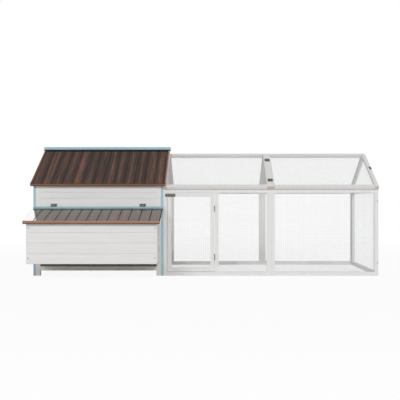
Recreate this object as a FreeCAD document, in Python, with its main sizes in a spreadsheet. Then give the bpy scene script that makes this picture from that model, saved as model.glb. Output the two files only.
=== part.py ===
import FreeCAD, Part
import os
import re

import Sketcher
from FreeCAD import Placement, Rotation, Vector

# Driving sizes, in millimetres, with slopes in degrees and plank counts.
SIZES = {
    "house_width": 1040,
    "depth": 900,
    "run_module": 860,
    "house_wall_height": 737,
    "run_wall_height": 700,
    "roof_pitch": 33.4,
    "run_pitch": 32,
    "roof_board": 15,
    "roof_eave": 32,
    "roof_overhang": 18,
    "roof_planks": 13,
    "eave_trim": 10,
    "eave_trim_height": 19,
    "rake_trim": 8,
    "rake_trim_height": 17,
    "roof_batten_wide": 34,
    "roof_batten_thick": 20,
    "beam_thick": 24,
    "beam_height": 33.5,
    "beam_overhang": 29,
    "beam_seat": 2,
    "corner_post_wide": 20,
    "corner_post_deep": 40,
    "stile_wide": 36,
    "frame_thick": 24,
    "house_rail_bottom": 42,
    "house_rail_top": 75,
    "sill_bottom": 116,
    "sill_top": 138,
    "front_panel_bottom": 523,
    "front_boards": 4,
    "wall_board": 12,
    "wall_board_pitch": 48,
    "groove": 2.5,
    "board_gap": 0.4,
    "rafter_deep": 30,
    "tie_bottom": 684,
    "tie_high": 34,
    "side_door_opening": 400,
    "side_door_boards": 11,
    "side_door_skip": 1,
    "side_door_gap": 3,
    "batten_wide": 34,
    "batten_thick": 18,
    "pop_door_clear": 36,
    "pop_hole_wide": 240,
    "pop_hole_boards": 6,
    "pop_door_lap": 10,
    "pop_door_thick": 10,
    "pop_rail": 6,
    "pop_play": 0.5,
    "pop_pull_wide": 24,
    "pop_pull_long": 90,
    "pop_pull_thick": 14,
    "tray_height": 34,
    "tray_wall": 1.5,
    "tray_lip": 14,
    "tray_play": 2,
    "runner_wide": 20,
    "runner_high": 18,
    "slide_gap": 0.3,
    "roost_height": 340,
    "roost_clear": 91,
    "roost_wide": 45,
    "roost_high": 38,
    "roost_round": 10,
    "bracket_thick": 14,
    "bracket_drop": 60,
    "nest_inset": 25,
    "nest_bottom": 122,
    "nest_depth": 290,
    "nest_board": 15,
    "nest_planks": 4,
    "nest_plank_pitch": 79.5,
    "nest_floor_lift": 4,
    "nest_floor": 12,
    "divider": 12,
    "divider_clear": 8,
    "nest_batten": 20,
    "lid_pitch": 17,
    "lid_reach": 320,
    "lid_board": 15,
    "lid_planks": 13,
    "lid_inset": 5,
    "lid_gap": 0.8,
    "lid_back_gap": 2,
    "lid_trim": 10,
    "lid_trim_height": 23,
    "lid_batten_wide": 30,
    "lid_batten_thick": 18,
    "lid_batten_inset": 55,
    "hinge_rail_wide": 24,
    "hinge_rail_high": 12,
    "hinge_inset": 165,
    "hinge_length": 50,
    "knuckle_radius": 3,
    "leaf_wide": 16,
    "leaf_thick": 1.2,
    "pin_radius": 1.5,
    "pin_play": 0.08,
    "hinge_play": 0.3,
    "door_seat": 1.5,
    "stick_wide": 31,
    "stick_thick": 24,
    "run_eave": 13,
    "ridge_gap": 0.3,
    "top_rail_high": 36,
    "door_width": 375,
    "door_gap": 2,
    "door_hinge_low": 150,
    "door_hinge_high": 537,
    "mesh_pitch": 125,
    "mesh_wire": 1.6,
    "mesh_thick": 1.2,
    "mesh_lap": 6,
    "plate_long": 40,
    "plate_wide": 44,
    "plate_thick": 2,
    "plate_low": 100,
    "plate_high": 440,
    "end_plate": 300,
    "end_plate_long": 18,
    "bolt_long": 60,
    "bolt_wide": 26,
    "bolt_drop": 18,
    "bolt_clear": 4,
    "bolt_plate": 1.5,
    "bolt_axis": 6.3,
    "barrel_radius": 5.5,
    "rod_radius": 3,
    "rod_long": 44,
    "rod_play": 0.06,
    "rod_start": 1,
    "bolt_travel": 20,
    "knob_place": 38,
    "knob_stem": 2.2,
    "knob_play": 0.5,
    "knob_radius": 4,
    "knob_long": 6,
    "knob_reach": 11,
    "keeper_long": 13,
    "keeper_gap": 5,
    "keeper_play": 0.8,
}

doc = FreeCAD.newDocument("chicken_coop_with_run")
sheet = doc.addObject("Spreadsheet::Sheet", "sizes")
for row, (alias, size) in enumerate(SIZES.items(), start=1):
    sheet.set(f"A{row}", alias)
    sheet.set(f"B{row}", str(size))
    sheet.setAlias(f"B{row}", alias)
doc.recompute()

# Planes worked out from the driving sizes. The house's left side is x = 0, the front wall y = 0.
RUN_LEFT = "house_width"
RUN_MIDDLE = "(house_width + run_module)"
RUN_RIGHT = "(house_width + 2 * run_module)"
MIDDLE = "(depth / 2)"
ROOF_REACH = "(roof_eave * cos(roof_pitch) + roof_board * sin(roof_pitch))"
EAVE_TOP = "(house_wall_height - roof_eave * sin(roof_pitch) + roof_board * cos(roof_pitch))"
RUN_REACH = "(run_eave * cos(run_pitch) + stick_thick * sin(run_pitch))"
RUN_EAVE_TOP = "(run_wall_height - run_eave * sin(run_pitch) + stick_thick * cos(run_pitch))"
RUN_SLOPE = f"(({MIDDLE} + {RUN_REACH} - ridge_gap) / cos(run_pitch))"
ROOF_SLOPE = (f"(({MIDDLE} - beam_thick / 2 - board_gap + {ROOF_REACH} - roof_board * sin(roof_pitch))"
              " / cos(roof_pitch))")
LID_BACK = ("(nest_bottom + nest_planks * nest_plank_pitch + lid_gap + lid_board / cos(lid_pitch)"
            " + nest_depth * tan(lid_pitch))")
LID_SLOPE = "(lid_reach / cos(lid_pitch))"
LID_SEAT = "(knuckle_radius + hinge_play)"
LID_AXIS_UP = f"(hinge_rail_high + {LID_SEAT})"
LID_AXIS_ALONG = f"(({LID_AXIS_UP} * sin(lid_pitch) - {LID_SEAT}) / cos(lid_pitch))"
LID_AXIS_Z = f"({LID_BACK} + {LID_AXIS_ALONG} * sin(lid_pitch) + {LID_AXIS_UP} * cos(lid_pitch))"
FLOOR = "(house_rail_top + slide_gap)"
CENTRE = (
    f"(({RUN_RIGHT} - beam_overhang) / 2)",
    f"((depth + {ROOF_REACH} - lid_reach) / 2)",
    "0",
)


def under_roof(y):
    """Height of the house roof's underside, y measured in from the front or the back wall."""
    return f"(house_wall_height + ({y}) * tan(roof_pitch))"


def under_run_roof(y):
    return f"(run_wall_height + ({y}) * tan(run_pitch))"


def under_lid(y):
    """Height of the top edge of the nest box below the lid."""
    return f"({LID_BACK} + ({y}) * tan(lid_pitch) - lid_board / cos(lid_pitch) - lid_gap)"


BEAM_BOTTOM = f"({under_roof(MIDDLE)} - beam_seat)"


def tied(text):
    """Expression text with every size name pointed at its cell."""
    return re.sub(r"[a-z_]+", lambda word: "sizes." + word[0] if word[0] in SIZES else word[0], text)


def value(text):
    return float(sheet.evalExpression(text))


def place(item, base, pitch=None):
    """Bind an object's position, and its tilt about the x axis if it has one."""
    if pitch:
        item.Placement = Placement(Vector(), Rotation(Vector(1, 0, 0), value(pitch)))
        item.setExpression("Placement.Rotation.Angle", tied(pitch))
    for axis, text in zip("xyz", base):
        item.setExpression(f"Placement.Base.{axis}", tied(text))


def stick(name, xs, ys, zs):
    """Square-sawn piece between two planes on each axis."""
    item = doc.addObject("Part::Box", name)
    for size, (low, high) in zip(("Length", "Width", "Height"), (xs, ys, zs)):
        item.setExpression(size, tied(f"({high}) - ({low})"))
    place(item, (xs[0], ys[0], zs[0]))
    return item


def rod(name, radius, low, high, axis="z", at=("0", "0")):
    """Round piece along one axis; at holds its two other coordinates in x, y, z order."""
    item = doc.addObject("Part::Cylinder", name)
    item.setExpression("Radius", tied(radius))
    item.setExpression("Height", tied(f"({high}) - ({low})"))
    if axis == "x":
        item.Placement = Placement(Vector(), Rotation(Vector(0, 1, 0), 90))
        base = (low, at[0], at[1])
    elif axis == "y":
        item.Placement = Placement(Vector(), Rotation(Vector(1, 0, 0), -90))
        base = (at[0], low, at[1])
    else:
        base = (at[0], at[1], low)
    place(item, base)
    return item


def origin_feature(body, role):
    return next(item for item in body.Origin.OriginFeatures if item.Role == role)


def profile(name, role, corners, low, high):
    """Piece of one section: a closed outline on a plane of its own body, padded from low to high."""
    body = doc.addObject("PartDesign::Body", name)
    sketch = body.newObject("Sketcher::SketchObject", name + "_outline")
    sketch.AttachmentSupport = [(origin_feature(body, role), "")]
    sketch.MapMode = "FlatFace"
    count = len(corners)
    points = [Vector(value(across), value(up), 0) for across, up in corners]
    for i in range(count):
        sketch.addGeometry(Part.LineSegment(points[i], points[(i + 1) % count]))
    for i in range(count):
        sketch.addConstraint(Sketcher.Constraint("Coincident", i, 2, (i + 1) % count, 1))
    for i, corner in enumerate(corners):
        for kind, text in zip(("DistanceX", "DistanceY"), corner):
            place_in_list = sketch.addConstraint(Sketcher.Constraint(kind, -1, 1, i, 1, value(text)))
            sketch.setExpression(f"Constraints[{place_in_list}]", tied(text))
    pad = body.newObject("PartDesign::Pad", name + "_length")
    pad.Profile = sketch
    pad.Reversed = role == "XZ_Plane"
    pad.setExpression("Length", tied(f"({high}) - ({low})"))
    axis = {"YZ_Plane": "x", "XZ_Plane": "y", "XY_Plane": "z"}[role]
    body.setExpression(f"Placement.Base.{axis}", tied(low))
    return body


def repeated(body, role, count, spacing):
    """Copies of a body's one pad along one of its own axes."""
    pattern = body.newObject("PartDesign::LinearPattern", body.Name + "_rows")
    pattern.Originals = [body.Tip]
    pattern.Direction = (origin_feature(body, role), [""])
    pattern.setExpression("Occurrences", tied(count))
    pattern.setExpression("Length", tied(f"(({count}) - 1) * ({spacing})"))
    body.Tip = pattern
    return body


def board(face, inward, thick, low, high):
    """Section of a V-jointed board: (across, along) corners, its two face edges chamfered."""
    shoulder = f"({face} + ({inward}) * groove)"
    back = f"({face} + ({inward}) * {thick})"
    return [
        (face, f"({low}) + groove"),
        (shoulder, low),
        (back, low),
        (back, high),
        (shoulder, high),
        (face, f"({high}) - groove"),
    ]


def boolean(kind, name, base, tool):
    item = doc.addObject(kind, name)
    item.Base = base
    item.Tool = tool
    return item


def fused(name, members):
    item = doc.addObject("Part::MultiFuse", name)
    item.Shapes = members
    return item


HERE = ("0", "0", "0")


def group(name, members, base=HERE, pitch=None):
    item = doc.addObject("Part::Compound", name)
    item.Links = members
    place(item, base, pitch)
    return item


NODES = []


def node(label, members, base=HERE, pitch=None):
    """Sub-part of the coop: its solids in the coop's own frame, under the name of its file."""
    item = group(label, members, [f"{own} - {centre}" for own, centre in zip(base, CENTRE)], pitch)
    item.Label = label
    NODES.append(item)


def turned(item, along, seat):
    """Turn a canonical fitting so that its x axis lies along one direction and its y axis to its seat."""
    item.Placement = Placement(Vector(), Rotation(along, seat, along.cross(seat), "XYZ"))
    return item


# Four painted corner posts, their tops cut to the roof's slope.
posts = []
for x in ("0", "house_width - corner_post_wide"):
    posts.append(profile("post", "YZ_Plane", [
        ("0", "0"),
        ("corner_post_deep", "0"),
        ("corner_post_deep", under_roof("corner_post_deep")),
        ("0", under_roof("0")),
    ], x, f"{x} + corner_post_wide"))
    posts.append(profile("post", "YZ_Plane", [
        ("depth", "0"),
        ("depth - corner_post_deep", "0"),
        ("depth - corner_post_deep", under_roof("corner_post_deep")),
        ("depth", under_roof("0")),
    ], x, f"{x} + corner_post_wide"))
node("corner_posts", posts)

# Front and back walls: stiles that run down as legs, rails, and V-jointed boards between them.
STILE_IN = "(corner_post_wide + stile_wide)"
BOARDS_LEFT = STILE_IN
BOARDS_RIGHT = f"(house_width - {STILE_IN})"
FRONT_TOP = "(front_panel_bottom + front_boards * wall_board_pitch)"


def wall_members(front):
    """Stiles and the bevelled top rail of the front wall, or of the back wall as its mirror image."""
    def across(y):
        return y if front else f"(depth - {y})"
    slanted = [("0", "0"), ("frame_thick", "0"),
               ("frame_thick", under_roof("frame_thick")), ("0", under_roof("0"))]
    slanted = [(across(y), z) for y, z in slanted]
    rail = [slanted[2], slanted[3], (across("0"), FRONT_TOP), (across("frame_thick"), FRONT_TOP)]
    return [
        profile("stile", "YZ_Plane", slanted, "corner_post_wide", STILE_IN),
        profile("stile", "YZ_Plane", slanted, BOARDS_RIGHT, "house_width - corner_post_wide"),
        profile("top_rail", "YZ_Plane", rail, BOARDS_LEFT, BOARDS_RIGHT),
    ]


FRONT = ("0", "frame_thick")
BACK = ("depth - frame_thick", "depth")
BETWEEN_STILES = (BOARDS_LEFT, BOARDS_RIGHT)
node("front_wall_frame", wall_members(True) + [
    stick("bottom_rail", BETWEEN_STILES, FRONT, ("house_rail_bottom", "house_rail_top")),
    stick("nest_sill", BETWEEN_STILES, FRONT, ("sill_bottom", "sill_top")),
    stick("nest_lintel", BETWEEN_STILES, FRONT, ("front_panel_bottom - stile_wide", "front_panel_bottom")),
])
BACK_BOARDS = f"floor(({FRONT_TOP} - house_rail_top) / wall_board_pitch)"
BACK_BOTTOM = f"({FRONT_TOP} - {BACK_BOARDS} * wall_board_pitch)"
node("back_wall_frame", wall_members(False) + [
    stick("bottom_rail", BETWEEN_STILES, BACK, ("house_rail_bottom", BACK_BOTTOM)),
])


def stacked_boards(name, face, inward, bottom, count, low, high):
    """Boards lying along x, one above the other, with their jointed face to the front or the back."""
    section = board(face, inward, "wall_board", bottom, f"{bottom} + wall_board_pitch - board_gap")
    return repeated(profile(name, "YZ_Plane", section, low, high), "Z_Axis", count, "wall_board_pitch")


node("front_wall_boards", [
    stacked_boards("boards", "0", "1", "front_panel_bottom", "front_boards",
                   BOARDS_LEFT, BOARDS_RIGHT)])
node("back_wall_boards", [
    stacked_boards("boards", "depth", "-1", BACK_BOTTOM, BACK_BOARDS,
                   BOARDS_LEFT, BOARDS_RIGHT)])

# End walls: boards trimmed to the gable, on a frame of rail, tie, rafters and king post inside them.
END_LOW = "corner_post_deep"
END_HIGH = "(depth - corner_post_deep)"
KING_LOW = f"({MIDDLE} - beam_thick / 2)"
KING_HIGH = f"({MIDDLE} + beam_thick / 2)"
FRAME_IN = "wall_board"
FRAME_DEEP = f"({FRAME_IN} + frame_thick)"
SIDE_DOOR_START = "((depth - side_door_opening) / 2)"
SIDE_DOOR_END = f"({SIDE_DOOR_START} + side_door_opening)"
SIDE_DOOR_BOTTOM = "(house_rail_top + side_door_skip * wall_board_pitch)"
SIDE_DOOR_TOP = f"({SIDE_DOOR_BOTTOM} + side_door_boards * wall_board_pitch)"
POP_HIGH = "(depth - stick_thick - pop_door_clear)"
POP_LOW = f"({POP_HIGH} - pop_hole_wide - 2 * pop_door_lap)"
POP_END = f"({POP_LOW} - pop_door_lap)"
POP_START = f"({POP_END} - pop_hole_wide)"
POP_BOTTOM = SIDE_DOOR_BOTTOM
POP_TOP = f"({POP_BOTTOM} + pop_hole_boards * wall_board_pitch)"
TIE_TOP = "(tie_bottom + tie_high)"


def from_side(left, x):
    """The same distance in from the left or from the right end of the house."""
    return x if left else f"(house_width - ({x}))"


def side_span(left, near, far):
    return (near, far) if left else (f"(house_width - ({far}))", f"(house_width - ({near}))")


def end_frame(left, opening_low, opening_high, opening_top):
    """Members of an end wall, with posts beside its opening and a tie beam over it."""
    inside = side_span(left, FRAME_IN, FRAME_DEEP)
    post_height = ("house_rail_top", "tie_bottom")
    rafters = []
    for front in (True, False):
        near, far = (END_LOW, KING_LOW) if front else (END_HIGH, KING_HIGH)
        rafters.append(profile("end_rafter", "YZ_Plane", [
            (near, under_roof(END_LOW)),
            (near, f"{under_roof(END_LOW)} - rafter_deep"),
            (far, f"{under_roof(KING_LOW)} - rafter_deep"),
            (far, under_roof(KING_LOW)),
        ], *inside))
    return rafters + [
        stick("end_rail", side_span(left, "0", FRAME_DEEP), (END_LOW, END_HIGH),
              ("house_rail_bottom", "house_rail_top")),
        stick("tie_beam", inside, (END_LOW, END_HIGH), ("tie_bottom", TIE_TOP)),
        stick("king_post", inside, (KING_LOW, KING_HIGH), (TIE_TOP, BEAM_BOTTOM)),
        stick("door_post", inside, (f"{opening_low} - stile_wide", opening_low), post_height),
        stick("door_post", inside, (opening_high, f"{opening_high} + stile_wide"), post_height),
        stick("opening_head", inside, (opening_low, opening_high),
              (opening_top, f"{opening_top} + batten_thick")),
    ]


def gable_boards(left, name, low, high, count, bottom="house_rail_top"):
    """Boards of an end wall, lying along y with their jointed face outwards."""
    face = from_side(left, "0")
    inward = "1" if left else "-1"
    section = board(face, inward, "wall_board", bottom, f"{bottom} + wall_board_pitch - board_gap")
    return repeated(profile(name, "XZ_Plane", section, low, high), "Z_Axis", count, "wall_board_pitch")


def end_wall(left, hole_low, hole_high, hole_bottom, hole_top):
    rise = f"ceil(({BEAM_BOTTOM} - house_rail_top) / wall_board_pitch)"
    half_flat = "(beam_seat / tan(roof_pitch))"
    span = side_span(left, "0", FRAME_IN)
    gable = profile("gable", "YZ_Plane", [
        (END_LOW, "house_rail_top"),
        (END_HIGH, "house_rail_top"),
        (END_HIGH, under_roof(END_LOW)),
        (f"{MIDDLE} + {half_flat}", BEAM_BOTTOM),
        (f"{MIDDLE} - {half_flat}", BEAM_BOTTOM),
        (END_LOW, under_roof(END_LOW)),
    ], *span)
    boards = gable_boards(left, "end_boards", END_LOW, END_HIGH, rise)
    trimmed = boolean("Part::Common", "gable_trim", boards, gable)
    hole = stick("hole", span, (hole_low, hole_high), (hole_bottom, hole_top))
    return boolean("Part::Cut", "end_wall", trimmed, hole)


node("left_end_frame", end_frame(True, SIDE_DOOR_START, SIDE_DOOR_END, SIDE_DOOR_TOP))
node("left_end_boards", [end_wall(True, SIDE_DOOR_START, SIDE_DOOR_END, SIDE_DOOR_BOTTOM, SIDE_DOOR_TOP)])
node("right_end_frame", end_frame(False, POP_START, POP_END, POP_TOP))
node("right_end_boards", [end_wall(False, POP_START, POP_END, POP_BOTTOM, POP_TOP)])

# Cleaning door in the left end: boards level with the wall's, on two upright battens.
SIDE_LEAF_LOW = f"({SIDE_DOOR_START} + side_door_gap)"
SIDE_LEAF_HIGH = f"({SIDE_DOOR_END} - 2 * door_seat)"
SIDE_LEAF = (f"{SIDE_DOOR_BOTTOM} + side_door_gap", f"{SIDE_DOOR_TOP} - side_door_gap")
leaf_boards = gable_boards(
    True, "leaf_boards", SIDE_LEAF_LOW, SIDE_LEAF_HIGH, "side_door_boards", SIDE_DOOR_BOTTOM)
leaf_trim = stick("leaf_trim", ("0", FRAME_IN), (SIDE_LEAF_LOW, SIDE_LEAF_HIGH), SIDE_LEAF)
node("side_door_boards", [boolean("Part::Common", "side_leaf", leaf_boards, leaf_trim)])
LEAF_BACK = (FRAME_IN, f"{FRAME_IN} + batten_thick")
node("side_door_battens", [
    stick("leaf_batten", LEAF_BACK, (SIDE_LEAF_LOW, f"{SIDE_LEAF_LOW} + batten_wide"), SIDE_LEAF),
    stick("leaf_batten", LEAF_BACK, (f"{SIDE_LEAF_HIGH} - batten_wide", SIDE_LEAF_HIGH), SIDE_LEAF),
])

# Pop door between house and run: a panel in two lipped rails, stored open, with a block to pull it by.
POP_FACE = "house_width"
POP_PANEL = (f"{POP_FACE} + pop_play", f"{POP_FACE} + pop_play + pop_door_thick")
POP_LIP = (f"{POP_PANEL[1]} + pop_play", f"{POP_PANEL[1]} + pop_play + pop_rail")
POP_RAIL_SPAN = (f"{POP_START} - 2 * pop_door_lap", f"{POP_HIGH} + pop_door_lap")


def pop_rail(name, edge, outward):
    """Rail of L section: a ledge on the wall and a lip that holds the panel's edge."""
    ledge = f"({edge} + ({outward}) * pop_rail)"
    lip = f"({edge} - ({outward}) * pop_door_lap)"
    return profile(name, "XZ_Plane", [
        (POP_FACE, edge),
        (POP_LIP[0], edge),
        (POP_LIP[0], lip),
        (POP_LIP[1], lip),
        (POP_LIP[1], ledge),
        (POP_FACE, ledge),
    ], *POP_RAIL_SPAN)


POP_PANEL_BOTTOM = f"({POP_BOTTOM} - pop_door_lap)"
POP_PANEL_TOP = f"({POP_TOP} + pop_door_lap)"
node("pop_door_rails", [
    pop_rail("low_rail", f"({POP_PANEL_BOTTOM} - slide_gap)", "-1"),
    pop_rail("high_rail", f"({POP_PANEL_TOP} + pop_play)", "1"),
])
node("pop_door", [
    stick("pop_panel", POP_PANEL, (POP_LOW, POP_HIGH), (POP_PANEL_BOTTOM, POP_PANEL_TOP))])
POP_CENTRE = f"(({POP_LOW} + {POP_HIGH}) / 2)"
PULL_MIDDLE = f"(({POP_BOTTOM} + {POP_TOP}) / 2)"
node("pop_door_pull", [stick(
    "pull", (POP_PANEL[1], f"{POP_PANEL[1]} + pop_pull_thick"),
    (f"{POP_CENTRE} - pop_pull_wide / 2", f"{POP_CENTRE} + pop_pull_wide / 2"),
    (f"{PULL_MIDDLE} - pop_pull_long / 2", f"{PULL_MIDDLE} + pop_pull_long / 2"))])

# Dropping tray of folded sheet on two runners, drawn out through the slot under the nest box.
TRAY_LEFT = f"({STILE_IN} + tray_play)"
TRAY_RIGHT = f"({BOARDS_RIGHT} - tray_play)"
TRAY_BACK = "(depth - frame_thick - tray_play)"
TRAY_FRONT = "(frame_thick / 2)"
tray_block = stick(
    "tray_block", (TRAY_LEFT, TRAY_RIGHT), (TRAY_FRONT, TRAY_BACK), (FLOOR, f"{FLOOR} + tray_height"))
tray_hollow = stick(
    "tray_hollow", (f"{TRAY_LEFT} + tray_wall", f"{TRAY_RIGHT} - tray_wall"),
    (f"{TRAY_FRONT} + tray_wall", f"{TRAY_BACK} - tray_wall"),
    (f"{FLOOR} + tray_wall", f"{FLOOR} + 2 * tray_height"))
tray_pan = boolean("Part::Cut", "tray_pan", tray_block, tray_hollow)
finger_lip = stick("finger_lip", (TRAY_LEFT, TRAY_RIGHT), (f"{TRAY_FRONT} - tray_lip", TRAY_FRONT),
                   (f"{FLOOR} + tray_height - tray_wall", f"{FLOOR} + tray_height"))
node("dropping_tray", [fused("tray", [tray_pan, finger_lip])])
RUNNER_Z = ("house_rail_top - runner_high", "house_rail_top")
RUNNER_Y = ("frame_thick", "depth - frame_thick")
node("tray_runners", [
    stick("runner", (TRAY_LEFT, f"{TRAY_LEFT} + runner_wide"), RUNNER_Y, RUNNER_Z),
    stick("runner", (f"{TRAY_RIGHT} - runner_wide", TRAY_RIGHT), RUNNER_Y, RUNNER_Z),
])

# Roost: a bar with its top edges chamfered for the feet, lying in two bracket blocks.
ROOST_TOP = "(roost_height + roost_high)"
ROOST_LOW = "(depth - frame_thick - roost_clear - roost_wide)"
ROOST_HIGH = "(depth - frame_thick - roost_clear)"
node("roost_bar", [profile("bar", "YZ_Plane", [
    (ROOST_LOW, "roost_height"),
    (ROOST_HIGH, "roost_height"),
    (ROOST_HIGH, f"{ROOST_TOP} - roost_round"),
    (f"{ROOST_HIGH} - roost_round", ROOST_TOP),
    (f"{ROOST_LOW} + roost_round", ROOST_TOP),
    (ROOST_LOW, f"{ROOST_TOP} - roost_round"),
], FRAME_DEEP, f"house_width - {FRAME_DEEP}")])
node("roost_brackets", [
    stick("bracket", side_span(left, FRAME_IN, f"{FRAME_DEEP} + bracket_thick"),
          (ROOST_LOW, ROOST_HIGH), ("roost_height - bracket_drop", "roost_height"))
    for left in (True, False)])

# House roof: planks up each slope, trims along eaves and rakes, a batten under each slope.
RAKE_LEFT = "-roof_overhang"
RAKE_RIGHT = "(house_width + roof_overhang)"
PLANKS_LEFT = f"({RAKE_LEFT} + rake_trim)"
ROOF_PLANK = f"(({RAKE_RIGHT} - {RAKE_LEFT} - 2 * rake_trim) / roof_planks)"
FRONT_EAVE = ("0", f"-{ROOF_REACH}", EAVE_TOP)
BACK_EAVE = ("0", f"depth + {ROOF_REACH}", EAVE_TOP)


def sloping(front, low, high):
    """Stretch along a slope, measured up from the eave, on the front or the back slope."""
    return (low, high) if front else (f"-({high})", f"-({low})")


def planks(name, left, wide, count, thick, low, high):
    """Planks side by side along x, their jointed face uppermost at z = 0."""
    section = [(x, z) for z, x in board("0", "-1", thick, left, f"{left} + {wide} - board_gap")]
    return repeated(profile(name, "XZ_Plane", section, low, high), "X_Axis", count, wide)


def roof_side(front):
    along = sloping(front, "eave_trim", ROOF_SLOPE)
    boards = planks("roof_plank", PLANKS_LEFT, ROOF_PLANK, "roof_planks", "roof_board", *along)
    trims = [
        stick("eave", (RAKE_LEFT, RAKE_RIGHT), sloping(front, "0", "eave_trim"), ("-eave_trim_height", "0")),
        stick("rake", (RAKE_LEFT, PLANKS_LEFT), along, ("-rake_trim_height", "0")),
        stick("rake", (f"{RAKE_RIGHT} - rake_trim", RAKE_RIGHT), along, ("-rake_trim_height", "0")),
    ]
    batten = stick("batten", (f"{FRAME_DEEP} + board_gap", f"house_width - {FRAME_DEEP} - board_gap"),
                   sloping(front, f"{ROOF_SLOPE} / 2", f"{ROOF_SLOPE} / 2 + roof_batten_wide"),
                   ("-roof_board - roof_batten_thick", "-roof_board"))
    return boards, trims, batten


front_planks, front_trims, front_batten = roof_side(True)
back_planks, back_trims, back_batten = roof_side(False)
node("roof_front_planks", [front_planks], FRONT_EAVE, "roof_pitch")
node("roof_back_planks", [back_planks], BACK_EAVE, "-roof_pitch")
node("roof_trims", [
    group("front_trims", front_trims, FRONT_EAVE, "roof_pitch"),
    group("back_trims", back_trims, BACK_EAVE, "-roof_pitch"),
])
node("roof_battens", [
    group("front_batten", [front_batten], FRONT_EAVE, "roof_pitch"),
    group("back_batten", [back_batten], BACK_EAVE, "-roof_pitch"),
])
node("ridge_beam", [stick(
    "beam", ("-beam_overhang", "house_width + beam_overhang"),
    (KING_LOW, KING_HIGH), (BEAM_BOTTOM, f"{BEAM_BOTTOM} + beam_height"))])

# Nest box on the front wall: jointed boards, a floor, two dividers and a batten in each corner.
NEST_LEFT = "nest_inset"
NEST_RIGHT = "(house_width - nest_inset)"
NEST_FRONT = "(-nest_depth)"
NEST_IN = "(nest_board - nest_depth)"
NEST_PLANK_TOP = "nest_bottom + nest_plank_pitch - board_gap"
nest_section = board(NEST_FRONT, "1", "nest_board", "nest_bottom", NEST_PLANK_TOP)
nest_plank = profile("nest_plank", "YZ_Plane", nest_section, NEST_LEFT, NEST_RIGHT)
node("nest_front_boards", [repeated(nest_plank, "Z_Axis", "nest_planks", "nest_plank_pitch")])


def nest_side(left):
    face = from_side(left, "nest_inset")
    span = side_span(left, "nest_inset", "nest_inset + nest_board")
    count = f"ceil(({under_lid('0')} - nest_bottom) / nest_plank_pitch)"
    section = board(face, "1" if left else "-1", "nest_board", "nest_bottom", NEST_PLANK_TOP)
    plank = profile("side_plank", "XZ_Plane", section, NEST_IN, "0")
    rows = repeated(plank, "Z_Axis", count, "nest_plank_pitch")
    slope = profile("side_slope", "YZ_Plane", [
        (NEST_IN, "nest_bottom"),
        ("0", "nest_bottom"),
        ("0", under_lid("0")),
        (NEST_IN, under_lid(NEST_IN)),
    ], *span)
    return boolean("Part::Common", "nest_side", rows, slope)


NEST_INSIDE = ("nest_inset + nest_board", "house_width - nest_inset - nest_board")
NEST_DEEP = (NEST_IN, "0")
NEST_FLOOR = "(nest_bottom + nest_floor_lift + nest_floor)"
NEST_ROOM = "((house_width - 2 * nest_inset - 2 * nest_board - 2 * divider) / 3)"
DIVIDER_DROP = "(lid_batten_thick / cos(lid_pitch) + divider_clear)"
node("nest_side_boards", [nest_side(True), nest_side(False)])
node("nest_floor", [
    stick("floor_board", NEST_INSIDE, NEST_DEEP, ("nest_bottom + nest_floor_lift", NEST_FLOOR))])
dividers = []
for number in (1, 2):
    left_face = f"(nest_inset + nest_board + {number} * {NEST_ROOM} + {number - 1} * divider)"
    dividers.append(profile("nest_divider", "YZ_Plane", [
        (NEST_IN, NEST_FLOOR),
        ("0", NEST_FLOOR),
        ("0", f"{under_lid('0')} - {DIVIDER_DROP}"),
        (NEST_IN, f"{under_lid(NEST_IN)} - {DIVIDER_DROP}"),
    ], left_face, f"{left_face} + divider"))
node("nest_dividers", dividers)
BATTEN_TOP = f"({under_lid(NEST_IN)} - nest_batten)"
node("nest_corner_battens", [
    stick("corner_batten", side_span(left, NEST_INSIDE[0], f"{NEST_INSIDE[0]} + nest_batten"), ys,
          (NEST_FLOOR, BATTEN_TOP))
    for left in (True, False)
    for ys in ((NEST_IN, f"{NEST_IN} + nest_batten"), ("-nest_batten", "0"))])

# Nest lid, drawn level in its own frame with its top at z = 0, then tilted down to the front.
LID_PLACE = ("0", "0", LID_BACK)
LID_SPAN = ("lid_inset", "house_width - lid_inset")
LID_PLANK = "((house_width - 2 * lid_inset) / lid_planks)"
LID_INNER = (f"{NEST_INSIDE[0]} + nest_batten", f"{NEST_INSIDE[1]} - nest_batten")
LID_UNDER = ("-lid_board - lid_batten_thick", "-lid_board")
LID_FRONT_BATTEN = "(lid_batten_inset + lid_batten_wide - nest_depth)"
LID_FRONT = f"(lid_trim - {LID_SLOPE})"
LID_REAR = "(-lid_back_gap - lid_board * tan(lid_pitch))"
lid_planks = planks(
    "lid_plank", "lid_inset", LID_PLANK, "lid_planks", "lid_board", LID_FRONT, LID_REAR)
node("nest_lid_planks", [lid_planks], LID_PLACE, "lid_pitch")
node("nest_lid_battens", [
    stick("lid_batten", LID_INNER, (LID_FRONT_BATTEN, f"{LID_FRONT_BATTEN} + lid_batten_wide"), LID_UNDER),
    stick("lid_batten", LID_INNER, ("-lid_batten_inset - lid_batten_wide", "-lid_batten_inset"), LID_UNDER),
], LID_PLACE, "lid_pitch")
node("nest_lid_trim", [
    stick("lid_trim", LID_SPAN, (f"-{LID_SLOPE}", LID_FRONT), ("-lid_trim_height", "0"))],
    LID_PLACE, "lid_pitch")
node("lid_hinge_rail", [
    stick("hinge_rail", LID_SPAN, (f"{LID_REAR} - hinge_rail_wide", LID_REAR), ("0", "hinge_rail_high"))],
    LID_PLACE, "lid_pitch")

# Butt hinges: each leaf is drawn about its own z axis, plate along x, screwed face at y = seat.
KNUCKLES = 3
HALF_HINGE = "hinge_length / 2"


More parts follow.
